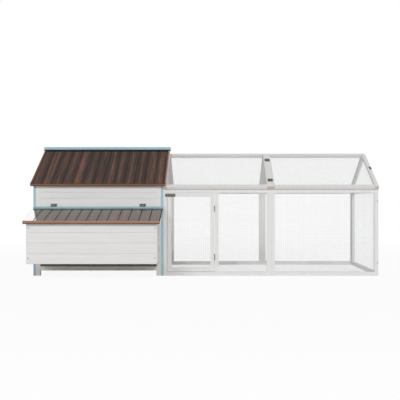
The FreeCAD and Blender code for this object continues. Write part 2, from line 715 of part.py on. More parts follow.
def hinge_leaf(name, first_knuckle, seat):
    """Leaf that owns every second knuckle, bored for the pin."""
    face = (f"{seat} - leaf_thick", seat)
    plate = stick(name + "_plate", ("knuckle_radius + hinge_play", "leaf_wide"), face,
                  (f"-{HALF_HINGE}", HALF_HINGE))
    members = [plate]
    for number in range(first_knuckle, KNUCKLES, 2):
        low = f"({number} * hinge_length / {KNUCKLES} - {HALF_HINGE} + hinge_play / 2)"
        high = f"({number + 1} * hinge_length / {KNUCKLES} - {HALF_HINGE} - hinge_play / 2)"
        members.append(stick(name + "_tab", ("0", "knuckle_radius + 2 * hinge_play"), face, (low, high)))
        members.append(rod(name + "_knuckle", "knuckle_radius", low, high))
    bore = rod(name + "_bore", "pin_radius + pin_play", "-hinge_length", "hinge_length")
    return boolean("Part::Cut", name, fused(name + "_leaf", members), bore)


def hinges(name, seat, fixed_way, moving_way, places, moving_places, moving_base, moving_pitch=None):
    """Pairs of leaves with their pins: fixed leaves and pins in one node, moving leaves in another."""
    fixed = []
    moving = []
    for here, there in zip(places, moving_places):
        leaf = turned(hinge_leaf(name + "_fixed", 0, seat), *fixed_way)
        pin = turned(rod(name + "_pin", "pin_radius", f"-{HALF_HINGE}", HALF_HINGE), *fixed_way)
        fixed.append(group(name + "_still", [leaf, pin_centred(pin)], here))
        swung = turned(hinge_leaf(name + "_moving", 1, seat), *moving_way)
        moving.append(group(name + "_swung", [swung], there))
    node(name + "_fixed_leaves", fixed)
    node(name + "_moving_leaves", moving, moving_base, moving_pitch)


def pin_centred(pin):
    """Slide a turned pin back along its own axis by half its length."""
    way = pin.Placement.Rotation.multVec(Vector(0, 0, 1))
    for axis, share in zip("xyz", way):
        pin.setExpression(f"Placement.Base.{axis}", tied(f"{-round(share)} * {HALF_HINGE}"))
    return pin


X, Y, Z = Vector(1, 0, 0), Vector(0, 1, 0), Vector(0, 0, 1)
LID_HINGES = ("hinge_inset", "house_width - hinge_inset")
hinges("lid_hinge", LID_SEAT, (Z, Y), (-Y, -Z),
       [(x, f"-{LID_SEAT}", LID_AXIS_Z) for x in LID_HINGES],
       [(x, LID_AXIS_ALONG, LID_AXIS_UP) for x in LID_HINGES], LID_PLACE, "lid_pitch")

# Run: front, back and end frames of planed sticks, with the top rails bevelled to the roof.
DOOR_LEFT = f"({RUN_LEFT} + stick_wide + door_gap)"
DOOR_RIGHT = f"({DOOR_LEFT} + door_width)"
DOOR_AXIS = f"({DOOR_RIGHT} + door_seat)"
HINGE_POST = f"({DOOR_RIGHT} + 2 * door_seat)"
HINGE_POST_END = f"({HINGE_POST} + stick_wide)"
RAIL_BOTTOM = "(run_wall_height - top_rail_high)"
RUN_FRONT = ("0", "stick_thick")
RUN_BACK = ("depth - stick_thick", "depth")


def top_rail(front, low, high):
    def across(y):
        return y if front else f"(depth - {y})"
    return profile("run_top_rail", "YZ_Plane", [
        (across("0"), RAIL_BOTTOM),
        (across("stick_thick"), RAIL_BOTTOM),
        (across("stick_thick"), under_run_roof("stick_thick")),
        (across("0"), under_run_roof("0")),
    ], low, high)


def wall_frame(front, low, high, post_edges):
    """Upright sticks that stand on the ground, bottom rails between them and one top rail over all."""
    ys = RUN_FRONT if front else RUN_BACK
    members = [top_rail(front, low, high)]
    for edge in post_edges:
        members.append(stick("run_post", (edge, f"{edge} + stick_wide"), ys, ("0", RAIL_BOTTOM)))
    for edge, following in zip(post_edges, post_edges[1:]):
        members.append(stick("run_bottom_rail", (f"{edge} + stick_wide", following), ys, ("0", "stick_wide")))
    return members


LAST_POST = f"({RUN_MIDDLE} - stick_wide)"
END_POST = f"({RUN_RIGHT} - stick_wide)"
node("run_front_frame_left", wall_frame(True, RUN_LEFT, RUN_MIDDLE, [RUN_LEFT, HINGE_POST, LAST_POST]))
node("run_front_frame_right", wall_frame(True, RUN_MIDDLE, RUN_RIGHT, [RUN_MIDDLE, END_POST]))
node("run_back_frame_left", wall_frame(False, RUN_LEFT, RUN_MIDDLE, [RUN_LEFT, LAST_POST]))
node("run_back_frame_right", wall_frame(False, RUN_MIDDLE, RUN_RIGHT, [RUN_MIDDLE, END_POST]))
END_X = (f"{RUN_RIGHT} - stick_thick", RUN_RIGHT)
END_OPEN = ("stick_thick + stick_wide", "depth - stick_thick - stick_wide")
node("run_end_frame", [
    stick("end_post", END_X, ("stick_thick", END_OPEN[0]), ("0", "run_wall_height")),
    stick("end_post", END_X, (END_OPEN[1], "depth - stick_thick"), ("0", "run_wall_height")),
    stick("end_bottom_rail", END_X, END_OPEN, ("0", "stick_wide")),
    stick("end_top_rail", END_X, END_OPEN, (RAIL_BOTTOM, "run_wall_height")),
])

# Run roof: a frame on each slope of each half, plumb-cut where the two slopes meet at the ridge.
RUN_FRONT_EAVE = ("0", f"-{RUN_REACH}", RUN_EAVE_TOP)
RUN_BACK_EAVE = ("0", f"depth + {RUN_REACH}", RUN_EAVE_TOP)
RIDGE_LOW = f"({RUN_SLOPE} - stick_wide)"
PLUMB_CUT = f"({RUN_SLOPE} - stick_thick * tan(run_pitch))"
SLAB = ("-stick_thick", "0")


def plumb_cut(name, front, foot, low, high):
    """Stick of a roof frame from one distance up the slope to the ridge, where it is cut upright."""
    def up(y):
        return y if front else f"(-{y})"
    return profile(name, "YZ_Plane", [
        (up(foot), "0"),
        (up(RUN_SLOPE), "0"),
        (up(PLUMB_CUT), "-stick_thick"),
        (up(foot), "-stick_thick"),
    ], low, high)


def roof_frame(front, low, high):
    """Two rafters from eave to ridge, with the eave bar and the ridge bar between them."""
    inner = (f"({low} + stick_wide)", f"({high} - stick_wide)")
    return [
        plumb_cut("run_rafter", front, "0", low, inner[0]),
        plumb_cut("run_rafter", front, "0", inner[1], high),
        plumb_cut("run_ridge", front, RIDGE_LOW, *inner),
        stick("run_eave_bar", inner, sloping(front, "0", "stick_wide"), SLAB),
    ]


HALVES = (("left", RUN_LEFT, RUN_MIDDLE), ("right", RUN_MIDDLE, RUN_RIGHT))
for side, low, high in HALVES:
    node(f"run_roof_front_frame_{side}", roof_frame(True, low, high), RUN_FRONT_EAVE, "run_pitch")
    node(f"run_roof_back_frame_{side}", roof_frame(False, low, high), RUN_BACK_EAVE, "-run_pitch")

# Run door in the left half: a frame of four sticks, hung on the second post.
DOOR_BOTTOM = "(stick_wide + door_gap)"
DOOR_TOP = f"({RAIL_BOTTOM} - door_gap)"
DOOR_RAILS = (f"{DOOR_LEFT} + stick_wide", f"{DOOR_RIGHT} - stick_wide")
node("run_door_frame", [
    stick("door_stile", (DOOR_LEFT, DOOR_RAILS[0]), RUN_FRONT, (DOOR_BOTTOM, DOOR_TOP)),
    stick("door_stile", (DOOR_RAILS[1], DOOR_RIGHT), RUN_FRONT, (DOOR_BOTTOM, DOOR_TOP)),
    stick("door_rail", DOOR_RAILS, RUN_FRONT, (DOOR_BOTTOM, f"{DOOR_BOTTOM} + stick_wide")),
    stick("door_rail", DOOR_RAILS, RUN_FRONT, (f"{DOOR_TOP} - stick_wide", DOOR_TOP)),
])
door_places = [(DOOR_AXIS, f"-{LID_SEAT}", z) for z in ("door_hinge_low", "door_hinge_high")]
hinges("door_hinge", "door_seat", (Y, X), (Y, -X), door_places, door_places, HERE)
SIDE_AXIS = (f"-{LID_SEAT}", f"{SIDE_LEAF_HIGH} + door_seat")
SIDE_HINGES = (f"{SIDE_LEAF[0]} + 2 * hinge_length", f"{SIDE_LEAF[1]} - 2 * hinge_length")
side_places = [SIDE_AXIS + (z,) for z in SIDE_HINGES]
hinges("side_hinge", "door_seat", (X, Y), (X, -Y), side_places, side_places, HERE)

# Barrel bolts, drawn along x with the screwed face at y = 0 and the rod shot towards -x.
BOLT_HALF = ("-bolt_wide / 2", "bolt_wide / 2")
BOLT_LINE = ("-bolt_axis", "0")


def barrel_plate(name, low, high, bore):
    """Plate with a bored barrel along it."""
    plate = stick(name + "_plate", (low, high), ("-bolt_plate", "0"), BOLT_HALF)
    barrel = rod(name + "_barrel", "barrel_radius", low, high, "x", BOLT_LINE)
    drill = rod(name + "_drill", bore, f"{low} - bolt_long", f"{high} + bolt_long", "x", BOLT_LINE)
    return boolean("Part::Cut", name + "_bored", fused(name + "_blank", [plate, barrel]), drill)


def bolt(name, way, at):
    """Bolt case, sliding rod with its knob, and the keeper that it shoots into."""
    slot = stick(
        name + "_slot", ("knob_place - bolt_travel - knob_radius", "knob_place + knob_radius"),
        ("-bolt_axis - 2 * barrel_radius", "-bolt_axis"),
        ("-knob_stem - knob_play", "knob_stem + knob_play"))
    case = boolean("Part::Cut", name + "_slotted",
                   barrel_plate(name + "_body", "0", "bolt_long", "rod_radius + rod_play"), slot)
    stem_tip = "(-bolt_axis - knob_reach)"
    slider = fused(name + "_slider", [
        rod(name + "_bar", "rod_radius", "rod_start", "rod_start + rod_long", "x", BOLT_LINE),
        rod(name + "_stem", "knob_stem", stem_tip, "-bolt_axis", "y", ("knob_place", "0")),
        rod(name + "_knob", "knob_radius", stem_tip, f"{stem_tip} + knob_long", "y", ("knob_place", "0")),
    ])
    keeper = barrel_plate(
        name + "_catch", "-keeper_gap - keeper_long", "-keeper_gap", "rod_radius + keeper_play")
    for label, item in (("case", case), ("rod", slider), ("keeper", keeper)):
        node(f"{name}_{label}", [group(f"{name}_{label}_set", [turned(item, *way)], at)])


# The run door's bolt sits near the top of the door, or under the house's eave where that is lower.
EAVE_LOW = f"({EAVE_TOP} - eave_trim_height * cos(roof_pitch))"
BOLT_HEIGHT = f"min({DOOR_TOP} - bolt_drop; {EAVE_LOW} - bolt_clear - bolt_wide / 2)"
bolt("door_bolt", (X, Y), (f"{DOOR_LEFT} + rod_start", "0", BOLT_HEIGHT))
SIDE_DOOR_CENTRE = f"(({SIDE_LEAF[0]} + {SIDE_LEAF[1]}) / 2)"
bolt("side_bolt", (Y, X), ("0", f"{SIDE_LEAF_LOW} + rod_start", SIDE_DOOR_CENTRE))

# Steel plates that tie the two halves of the run roof and its end.
FLAT = ("0", "plate_thick")


def roof_plates(front):
    plates = []
    for along in ("plate_low", "plate_high"):
        plates.append(stick("tie_plate", (f"{RUN_MIDDLE} - plate_long / 2", f"{RUN_MIDDLE} + plate_long / 2"),
                            sloping(front, f"{along} - plate_wide / 2", f"{along} + plate_wide / 2"), FLAT))
    plates.append(stick("end_plate", (f"{RUN_RIGHT} - end_plate_long", RUN_RIGHT),
                        sloping(front, "end_plate - plate_wide / 2", "end_plate + plate_wide / 2"), FLAT))
    return plates


node("roof_tie_plates", [
    group("front_plates", roof_plates(True), RUN_FRONT_EAVE, "run_pitch"),
    group("back_plates", roof_plates(False), RUN_BACK_EAVE, "-run_pitch"),
])


# Welded wire, drawn at a coarse pitch: one flat holed sheet for each panel.
def holed_sheet(wide, high):
    """Sheet from the origin in the xy plane, with square gaps at about the mesh pitch."""
    columns = max(1, round(wide / value("mesh_pitch")))
    rows = max(1, round(high / value("mesh_pitch")))
    wire = value("mesh_wire")
    gap_wide = (wide - wire) / columns - wire
    gap_high = (high - wire) / rows - wire

    def ring(x, y, across, up):
        return Part.makePolygon([Vector(x, y), Vector(x + across, y), Vector(x + across, y + up),
                                 Vector(x, y + up), Vector(x, y)])
    rings = [ring(0, 0, wide, high)]
    for column in range(columns):
        for row_number in range(rows):
            rings.append(ring(wire + column * (gap_wide + wire), wire + row_number * (gap_high + wire),
                              gap_wide, gap_high))
    sheet_face = Part.Face(rings[0]).cut(Part.Compound([Part.Face(gap) for gap in rings[1:]]))
    return sheet_face.Faces[0].extrude(Vector(0, 0, value("mesh_thick")))


def net(name, across, up, turn, base):
    """Rectangular net over an opening, lapped onto the sticks round it."""
    wide = value(f"({across[1]}) - ({across[0]}) + 2 * mesh_lap")
    high = value(f"({up[1]}) - ({up[0]}) + 2 * mesh_lap")
    item = doc.addObject("Part::Feature", name)
    item.Shape = holed_sheet(wide, high)
    item.Placement = Placement(Vector(*[value(text) for text in base]), turn)
    return item


UPRIGHT = Rotation(X, Z, -Y, "XYZ")
ACROSS = Rotation(Y, Z, X, "XYZ")
OPEN_UP = ("stick_wide", RAIL_BOTTOM)
BELOW = "stick_wide - mesh_lap"


def wall_net(name, across, up, y):
    return net(name, across, up, UPRIGHT, (f"{across[0]} - mesh_lap", y, f"{up[0]} - mesh_lap"))


INSIDE_FRONT = "stick_thick + mesh_thick"
INSIDE_BACK = "depth - stick_thick"
LEFT_OPEN = (f"{RUN_LEFT} + stick_wide", LAST_POST)
RIGHT_OPEN = (f"{RUN_MIDDLE} + stick_wide", END_POST)
node("run_front_mesh", [
    wall_net("net", (HINGE_POST_END, LAST_POST), OPEN_UP, INSIDE_FRONT),
    wall_net("net", RIGHT_OPEN, OPEN_UP, INSIDE_FRONT),
])
node("run_back_mesh", [
    wall_net("net", LEFT_OPEN, OPEN_UP, INSIDE_BACK),
    wall_net("net", RIGHT_OPEN, OPEN_UP, INSIDE_BACK),
])
node("run_door_mesh", [wall_net(
    "net", DOOR_RAILS, (f"{DOOR_BOTTOM} + stick_wide", f"{DOOR_TOP} - stick_wide"), INSIDE_FRONT)])


def roof_nets(front):
    up = sloping(front, "stick_wide", RIDGE_LOW)
    return [net("net", span, up, Rotation(), (f"{span[0]} - mesh_lap", f"{up[0]} - mesh_lap", "0"))
            for span in (LEFT_OPEN, RIGHT_OPEN)]


node("run_roof_mesh", [
    group("front_nets", roof_nets(True), RUN_FRONT_EAVE, "run_pitch"),
    group("back_nets", roof_nets(False), RUN_BACK_EAVE, "-run_pitch"),
])

# End wall net, and the gable net above it: a sheet trimmed to the slopes, with a rim round it.
END_FACE = f"{RUN_RIGHT} - stick_thick - mesh_thick"
GABLE_LOW = "(stick_thick + mesh_thick + ridge_gap)"
GABLE_BASE = "(run_wall_height - mesh_lap)"


def gable_outline(inset):
    """Pentagon under the run's roof slopes, drawn in by one inset all round."""
    low = value(GABLE_LOW)
    span = value("depth")
    base = value(GABLE_BASE)
    below = value("ridge_gap") + inset / value("cos(run_pitch)")
    shoulder = value(under_run_roof(f"{GABLE_LOW} + {inset}")) - below - base
    peak = value(under_run_roof(MIDDLE)) - below - base
    near, far = inset, span - 2 * low - inset
    corners = [(near, inset), (far, inset), (far, shoulder), ((near + far) / 2, peak), (near, shoulder)]
    return Part.Face(Part.makePolygon([Vector(across, up) for across, up in corners + corners[:1]]))


def gable_net():
    whole = gable_outline(0)
    thick = Vector(0, 0, value("mesh_thick"))
    rim = whole.cut(gable_outline(value("mesh_wire")))
    box = whole.BoundBox
    wires = holed_sheet(box.XLength, box.YLength).common(whole.extrude(thick))
    item = doc.addObject("Part::Feature", "gable_net")
    item.Shape = wires.fuse(rim.Faces[0].extrude(thick)).removeSplitter()
    item.Placement = Placement(Vector(value(END_FACE), value(GABLE_LOW), value(GABLE_BASE)), ACROSS)
    return item


node("run_end_mesh", [
    net("net", END_OPEN, OPEN_UP, ACROSS, (END_FACE, f"{END_OPEN[0]} - mesh_lap", BELOW)),
    gable_net(),
])

doc.recompute()

# Stop before anything is written if a feature failed or a sub-part is not made of sound solids.
for item in doc.Objects:
    if "Invalid" in item.State or "Error" in item.State:
        raise RuntimeError(f"{item.Label} failed: {item.State}")
for item in NODES:
    if item.Shape.isNull() or not item.Shape.isValid() or not item.Shape.Solids:
        raise RuntimeError(f"{item.Label} has no sound solid")

os.makedirs("parts", exist_ok=True)
for item in NODES:
    item.Shape.exportStep(f"parts/{item.Label}.step")
print(len(NODES), "nodes,", sum(len(item.Shape.Solids) for item in NODES), "solids")
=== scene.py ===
import math

import bmesh
import bpy
from mathutils import Matrix, Vector


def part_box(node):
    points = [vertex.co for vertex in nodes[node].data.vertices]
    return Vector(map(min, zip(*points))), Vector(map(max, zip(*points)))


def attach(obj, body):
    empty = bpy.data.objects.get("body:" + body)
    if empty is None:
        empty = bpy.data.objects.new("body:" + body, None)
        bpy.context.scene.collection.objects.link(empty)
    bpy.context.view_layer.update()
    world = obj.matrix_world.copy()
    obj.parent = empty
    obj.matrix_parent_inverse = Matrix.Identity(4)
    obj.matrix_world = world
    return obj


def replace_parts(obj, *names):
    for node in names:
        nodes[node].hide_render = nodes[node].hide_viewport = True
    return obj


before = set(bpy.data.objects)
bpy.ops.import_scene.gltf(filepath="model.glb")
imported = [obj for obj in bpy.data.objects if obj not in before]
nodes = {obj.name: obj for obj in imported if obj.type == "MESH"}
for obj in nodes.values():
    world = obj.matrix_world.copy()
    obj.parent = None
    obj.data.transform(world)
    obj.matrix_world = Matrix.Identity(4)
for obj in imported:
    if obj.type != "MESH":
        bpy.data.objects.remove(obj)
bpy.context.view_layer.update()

MM = 0.001


# Corner posts: four square-sawn fir posts at the corners of the house, brushed with pale blue paint
# before the walls are screwed between them. Their tops are cut to the roof's slope.
def linear(hex_colour):
    """Linear RGBA from an sRGB hex value."""
    channels = [int(hex_colour[i:i + 2], 16) / 255 for i in (1, 3, 5)]
    return [c / 12.92 if c <= 0.04045 else ((c + 0.055) / 1.055) ** 2.4 for c in channels] + [1.0]


def add(tree, kind, inputs, out=0, **settings):
    """Add a node, set its properties, fill or link its inputs, and return one of its outputs."""
    node = tree.nodes.new(kind)
    for key, value in settings.items():
        setattr(node, key, value)
    for key, value in inputs.items():
        if isinstance(value, bpy.types.NodeSocket):
            tree.links.new(value, node.inputs[key])
        else:
            node.inputs[key].default_value = value
    return node.outputs[out] if node.outputs else None


def new_material(name):
    """Material with a Principled shader; returns it, its tree and the shader."""
    material = bpy.data.materials.new(name)
    material.use_nodes = True
    return material, material.node_tree, material.node_tree.nodes["Principled BSDF"]


COORDINATES, MAPPING, NOISE = "ShaderNodeTexCoord", "ShaderNodeMapping", "ShaderNodeTexNoise"
MATH, MAP_RANGE, MIX, BUMP = "ShaderNodeMath", "ShaderNodeMapRange", "ShaderNodeMix", "ShaderNodeBump"
# The sockets of a Map Range node for the range that goes in and the range that comes out.
IN_LOW, IN_HIGH, OUT_LOW, OUT_HIGH = 1, 2, 3, 4
# The colour sockets of a Mix node, and its colour result.
FIRST, SECOND, MIXED = 6, 7, 2
# Turns that bring the way of the grain onto x.
ALONG_X = (0, 0, 0)
ALONG_Y = (0, 0, math.radians(-90))
ALONG_Z = (0, math.radians(90), 0)


def grain(tree, turn, length, width, seed=0.0):
    """Noise drawn out along a piece: turn brings the way of the grain onto x."""
    place = add(tree, COORDINATES, {}, "Object")
    # The Mapping node scales before it turns, so the turn comes first in a node of its own.
    turned = add(tree, MAPPING, {"Vector": place, "Rotation": turn})
    drawn = add(tree, MAPPING, {
        "Vector": turned, "Location": (seed, seed, seed), "Scale": (1 / length, 1 / width, 1 / width)})
    return add(tree, NOISE, {"Vector": drawn, "Scale": 1.0, "Detail": 4.0})


BRUSH_LENGTH = 420 * MM
BRUSH_WIDTH = 9 * MM
BRUSH_DEPTH = 0.4 * MM
COAT_PATCH = 160 * MM
THIN_COAT = 0.35
PAINT_ROUGHNESS = 0.5
PAINT_IOR = 1.47


def painted_fir(name, light, dark, turn):
    """Brushed satin paint on planed fir: even colour, faint streaks along the grain, soft sheen."""
    material, tree, shader = new_material(name)
    streak = grain(tree, turn, BRUSH_LENGTH, BRUSH_WIDTH)
    light_share = add(tree, MAP_RANGE, {0: streak, IN_LOW: 0.3, IN_HIGH: 0.7})
    brushed = add(tree, MIX, {0: light_share, FIRST: linear(dark), SECOND: linear(light)}, MIXED,
                  data_type="RGBA")
    place = add(tree, COORDINATES, {}, "Object")
    coat = add(tree, NOISE, {"Vector": place, "Scale": 1 / COAT_PATCH, "Detail": 2.0})
    thin_share = add(tree, MAP_RANGE, {0: coat, IN_LOW: 0.35, IN_HIGH: 0.7, OUT_HIGH: THIN_COAT})
    colour = add(tree, MIX, {0: thin_share, FIRST: brushed, SECOND: linear(dark)}, MIXED, data_type="RGBA")
    tree.links.new(colour, shader.inputs["Base Color"])
    raised = add(tree, BUMP, {"Height": streak, "Strength": 0.25, "Distance": BRUSH_DEPTH})
    tree.links.new(raised, shader.inputs["Normal"])
    shader.inputs["Roughness"].default_value = PAINT_ROUGHNESS
    shader.inputs["IOR"].default_value = PAINT_IOR
    return material


# Sawn and planed wood is flat between its edges, so its shading is too.
flat_faces = bpy.data.node_groups.new("flat_faces", "GeometryNodeTree")
flat_faces.interface.new_socket("Piece", in_out="INPUT", socket_type="NodeSocketGeometry")
flat_faces.interface.new_socket("Result", in_out="OUTPUT", socket_type="NodeSocketGeometry")
wood = add(flat_faces, "NodeGroupInput", {})
flat = add(flat_faces, "GeometryNodeSetShadeSmooth", {"Geometry": wood, "Shade Smooth": False})
add(flat_faces, "NodeGroupOutput", {0: flat})
STICK_ARRIS = 1.2 * MM
SAME_POINT = 0.01 * MM
SHARPEST_KEPT = math.radians(25)


def dress(material, *names, arris=STICK_ARRIS):
    """Give CAD nodes a material, and break the sharp edges of wood as sandpaper does."""
    for name in names:
        piece = nodes[name]
        piece.data.materials.clear()
        piece.data.materials.append(material)
        weld = piece.modifiers.new("joined_corners", "WELD")
        weld.merge_threshold = SAME_POINT
        if arris:
            edge = piece.modifiers.new("sanded_edges", "BEVEL")
            edge.width = arris
            edge.segments = 1
            # Absolute offsets keep the corners where two sticks butt close to the CAD surface.
            edge.offset_type = "ABSOLUTE"
            edge.limit_method = "ANGLE"
            edge.angle_limit = SHARPEST_KEPT
            shading = piece.modifiers.new("flat_faces", "NODES")
            shading.node_group = flat_faces


BLUE = ("#B2D3DC", "#A0C3CD")
blue_upright = painted_fir("blue_paint_upright", *BLUE, ALONG_Z)
dress(blue_upright, "corner_posts")

# Front and back walls: white stiles that run down to the ground as legs, with rails screwed between
# them and V-jointed boards nailed to the rails. Brushed with the same satin paint in white.
WHITE = ("#F0EFED", "#E8E7E5")
BOARD_ARRIS = 0.5 * MM
white_upright = painted_fir("white_paint_upright", *WHITE, ALONG_Z)
white_level = painted_fir("white_paint_level", *WHITE, ALONG_X)
dress(white_level, "front_wall_boards", "back_wall_boards", arris=BOARD_ARRIS)
dress(white_upright, "front_wall_frame", "back_wall_frame")

# End walls: V-jointed boards from side to side of each gable, nailed to a frame of rail, door posts,
# tie beam and rafters inside. Its rail shows below the boards, so the frame is painted too.
white_across = painted_fir("white_paint_across", *WHITE, ALONG_Y)
dress(white_across, "left_end_boards", "right_end_boards", arris=BOARD_ARRIS)
dress(white_upright, "left_end_frame", "right_end_frame")

# Cleaning door in the left end: painted boards cut from the same wall, screwed to two upright
# battens of bare planed fir. It hangs on butt hinges and shuts with a barrel bolt.
FIR = ("#D8C6A6", "#C4AB85")
RING_LENGTH = 260 * MM
RING_WIDTH = 6 * MM
PLANER_MARK = 0.3 * MM
FIR_ROUGHNESS = 0.7


def planed_fir(name, light, dark, turn):
    """Planed fir, bare or stained: a straw colour, darker growth rings along the grain, matt."""
    material, tree, shader = new_material(name)
    rings = grain(tree, turn, RING_LENGTH, RING_WIDTH)
    dark_share = add(tree, MAP_RANGE, {0: rings, IN_LOW: 0.3, IN_HIGH: 0.72})
    wood = add(tree, MIX, {0: dark_share, FIRST: linear(light), SECOND: linear(dark)}, MIXED,
               data_type="RGBA")
    tree.links.new(wood, shader.inputs["Base Color"])
    raised = add(tree, BUMP, {"Height": rings, "Strength": 0.3, "Distance": PLANER_MARK})
    tree.links.new(raised, shader.inputs["Normal"])
    shader.inputs["Roughness"].default_value = FIR_ROUGHNESS
    return material


fir_upright = planed_fir("planed_fir_upright", *FIR, ALONG_Z)
dress(white_across, "side_door_boards", arris=BOARD_ARRIS)
dress(fir_upright, "side_door_battens")

# Pop door to the run: a plywood panel that slides in two grooved rails screwed to the wall. Panel
# and rails are painted white, and the block to pull it by blue.
dress(white_upright, "pop_door")
dress(white_across, "pop_door_rails")
dress(blue_upright, "pop_door_pull")

# Roost and tray runners: plain planed fir. The roost lies in two bracket blocks, with its edges taken
# off for the feet, and the runners are screwed across the house's frame.
ROOST_ARRIS = 3 * MM
fir_level = planed_fir("planed_fir_level", *FIR, ALONG_X)
fir_across = planed_fir("planed_fir_across", *FIR, ALONG_Y)
dress(fir_level, "roost_bar", arris=ROOST_ARRIS)
dress(fir_upright, "roost_brackets")
dress(fir_across, "tray_runners")

# Dropping tray: galvanised sheet folded up on all sides, with a finger lip along the front. The
# zinc's crystals show as grey flakes that differ in tone and shine.
ZINC_GREY = ("#616F76", "#7B8990")
SPANGLE = 14 * MM
ZINC_ROUGHNESS = (0.38, 0.55)
zinc_sheet, tree, shader = new_material("spangled_zinc_sheet")
place = add(tree, COORDINATES, {}, "Object")
crystals = add(tree, "ShaderNodeTexVoronoi", {"Vector": place, "Scale": 1 / SPANGLE}, "Color")
flake = add(tree, "ShaderNodeSeparateColor", {0: crystals})
dark_flake, pale_flake = [linear(grey) for grey in ZINC_GREY]
sheet_grey = add(tree, MIX, {0: flake, FIRST: dark_flake, SECOND: pale_flake}, MIXED, data_type="RGBA")
tree.links.new(sheet_grey, shader.inputs["Base Color"])
dull = add(tree, MAP_RANGE, {0: flake, OUT_LOW: ZINC_ROUGHNESS[0], OUT_HIGH: ZINC_ROUGHNESS[1]})
tree.links.new(dull, shader.inputs["Roughness"])
shader.inputs["Metallic"].default_value = 0.7
dress(zinc_sheet, "dropping_tray", arris=None)

# Roof: planks laid up each slope and stained dark brown. The stain gathers towards the joints and
# leaves the middle of each plank redder; painted shade darkens the top edge under the beam.
ROOF_STAIN = ("#805A49", "#453A36", "#352B27", "#4A3D37")
ROOF_ROUGHNESS = 0.6
ROOF_GLOSS = 0.25
ROOF_PITCH = math.radians(33.4)
UP_FRONT = (-ROOF_PITCH, 0, math.radians(-90))
UP_BACK = (ROOF_PITCH, 0, math.radians(-90))
ROOF_LEFT, ROOF_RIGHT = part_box("roof_front_planks")[0][0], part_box("roof_front_planks")[1][0]
ROOF_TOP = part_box("roof_front_planks")[1][2]
ROOF_PLANKS = 13
ROOF_PLANK = (ROOF_RIGHT - ROOF_LEFT) / ROOF_PLANKS
ROOF_JOINT = 4 * MM
STREAK_LENGTH = 700 * MM
STREAK_WIDTH = 14 * MM
STREAK_WEIGHT = 1.6
PLANK_SHIFT = 0.15
FIBRE_LENGTH = 160 * MM
FIBRE_WIDTH = 6 * MM
FIBRE_SHARE = 0.7
FIBRE_DEPTH = 0.4 * MM
JOINT_CORE = 0.4
SEPARATE = "ShaderNodeSeparateXYZ"


def stained_planks(name, colours, turn, left, wide, joint_reach, roughness, gloss):
    """Stained planks: redder middles, darker sides, a shift for each plank, fine fibres, dark joints."""
    material, tree, shader = new_material(name)
    middle, side, fibre_tone, joint = [linear(colour) for colour in colours]
    across = add(tree, SEPARATE, {0: add(tree, COORDINATES, {}, "Object")})
    from_left = add(tree, MATH, {0: across, 1: left}, operation="SUBTRACT")
    counted = add(tree, MATH, {0: from_left, 1: wide}, operation="DIVIDE")
    part = add(tree, MATH, {0: counted}, operation="FRACT")
    off_middle = add(tree, MATH, {0: part, 1: 0.5}, operation="SUBTRACT")
    from_middle = add(tree, MATH, {0: off_middle}, operation="ABSOLUTE")
    streak = grain(tree, turn, STREAK_LENGTH, STREAK_WIDTH)
    wander = add(tree, MATH, {0: streak, 1: STREAK_WEIGHT, 2: from_middle}, operation="MULTIPLY_ADD")
    whole = add(tree, MATH, {0: counted}, operation="FLOOR")
    chance = add(tree, "ShaderNodeTexWhiteNoise", {"W": whole}, noise_dimensions="1D")
    wander = add(tree, MATH, {0: chance, 1: PLANK_SHIFT, 2: wander}, operation="MULTIPLY_ADD")
    side_share = add(tree, MAP_RANGE, {0: wander, IN_LOW: 0.75, IN_HIGH: 1.25})
    tone = add(tree, MIX, {0: side_share, FIRST: middle, SECOND: side}, MIXED, data_type="RGBA")
    fibre = grain(tree, turn, FIBRE_LENGTH, FIBRE_WIDTH, seed=3.0)
    fibre_share = add(tree, MAP_RANGE, {0: fibre, IN_LOW: 0.4, IN_HIGH: 0.68, OUT_HIGH: FIBRE_SHARE})
    tone = add(tree, MIX, {0: fibre_share, FIRST: tone, SECOND: fibre_tone}, MIXED, data_type="RGBA")
    in_joint = add(tree, MAP_RANGE, {
        0: from_middle, IN_LOW: 0.5 - joint_reach / wide, IN_HIGH: 0.5 - JOINT_CORE * joint_reach / wide})
    tone = add(tree, MIX, {0: in_joint, FIRST: tone, SECOND: joint}, MIXED, data_type="RGBA")
    tree.links.new(tone, shader.inputs["Base Color"])
    raised = add(tree, BUMP, {"Height": fibre, "Strength": 0.3, "Distance": FIBRE_DEPTH})
    tree.links.new(raised, shader.inputs["Normal"])
    shader.inputs["Roughness"].default_value = roughness
    sheen = add(tree, MAP_RANGE, {0: in_joint, OUT_LOW: gloss, OUT_HIGH: 0.0})
    tree.links.new(sheen, shader.inputs["Specular IOR Level"])
    return material


def stain_or_shade_band(material, colour, height, full, none):
    """Tint along a level edge, for stain or painted shade: full within one distance, none past another."""
    tree = material.node_tree
    base = tree.nodes["Principled BSDF"].inputs["Base Color"]
    own = base.links[0].from_socket
    z = add(tree, SEPARATE, {0: add(tree, COORDINATES, {}, "Object")}, "Z")
    above = add(tree, MATH, {0: z, 1: height}, operation="SUBTRACT")
    away = add(tree, MATH, {0: above}, operation="ABSOLUTE")
    share = add(tree, MAP_RANGE, {0: away, IN_LOW: none, IN_HIGH: full})
    tinted = add(tree, MIX, {0: share, FIRST: own, SECOND: linear(colour)}, MIXED, data_type="RGBA")
    tree.links.new(tinted, base)


# Painted shade: a dark band along the planks' top edge, in the joint under the beam.
ROOF_TOP_SHADE = "#100D0C"
ROOF_TOP_SHADE_REACH = (13.6 * MM, 17 * MM)
for side, turn in (("front", UP_FRONT), ("back", UP_BACK)):
    brown = stained_planks(f"brown_stain_{side}", ROOF_STAIN, turn, ROOF_LEFT, ROOF_PLANK, ROOF_JOINT,
                           ROOF_ROUGHNESS, ROOF_GLOSS)
    stain_or_shade_band(brown, ROOF_TOP_SHADE, ROOF_TOP, *ROOF_TOP_SHADE_REACH)
    dress(brown, f"roof_{side}_planks", arris=BOARD_ARRIS)
dress(fir_level, "roof_battens")
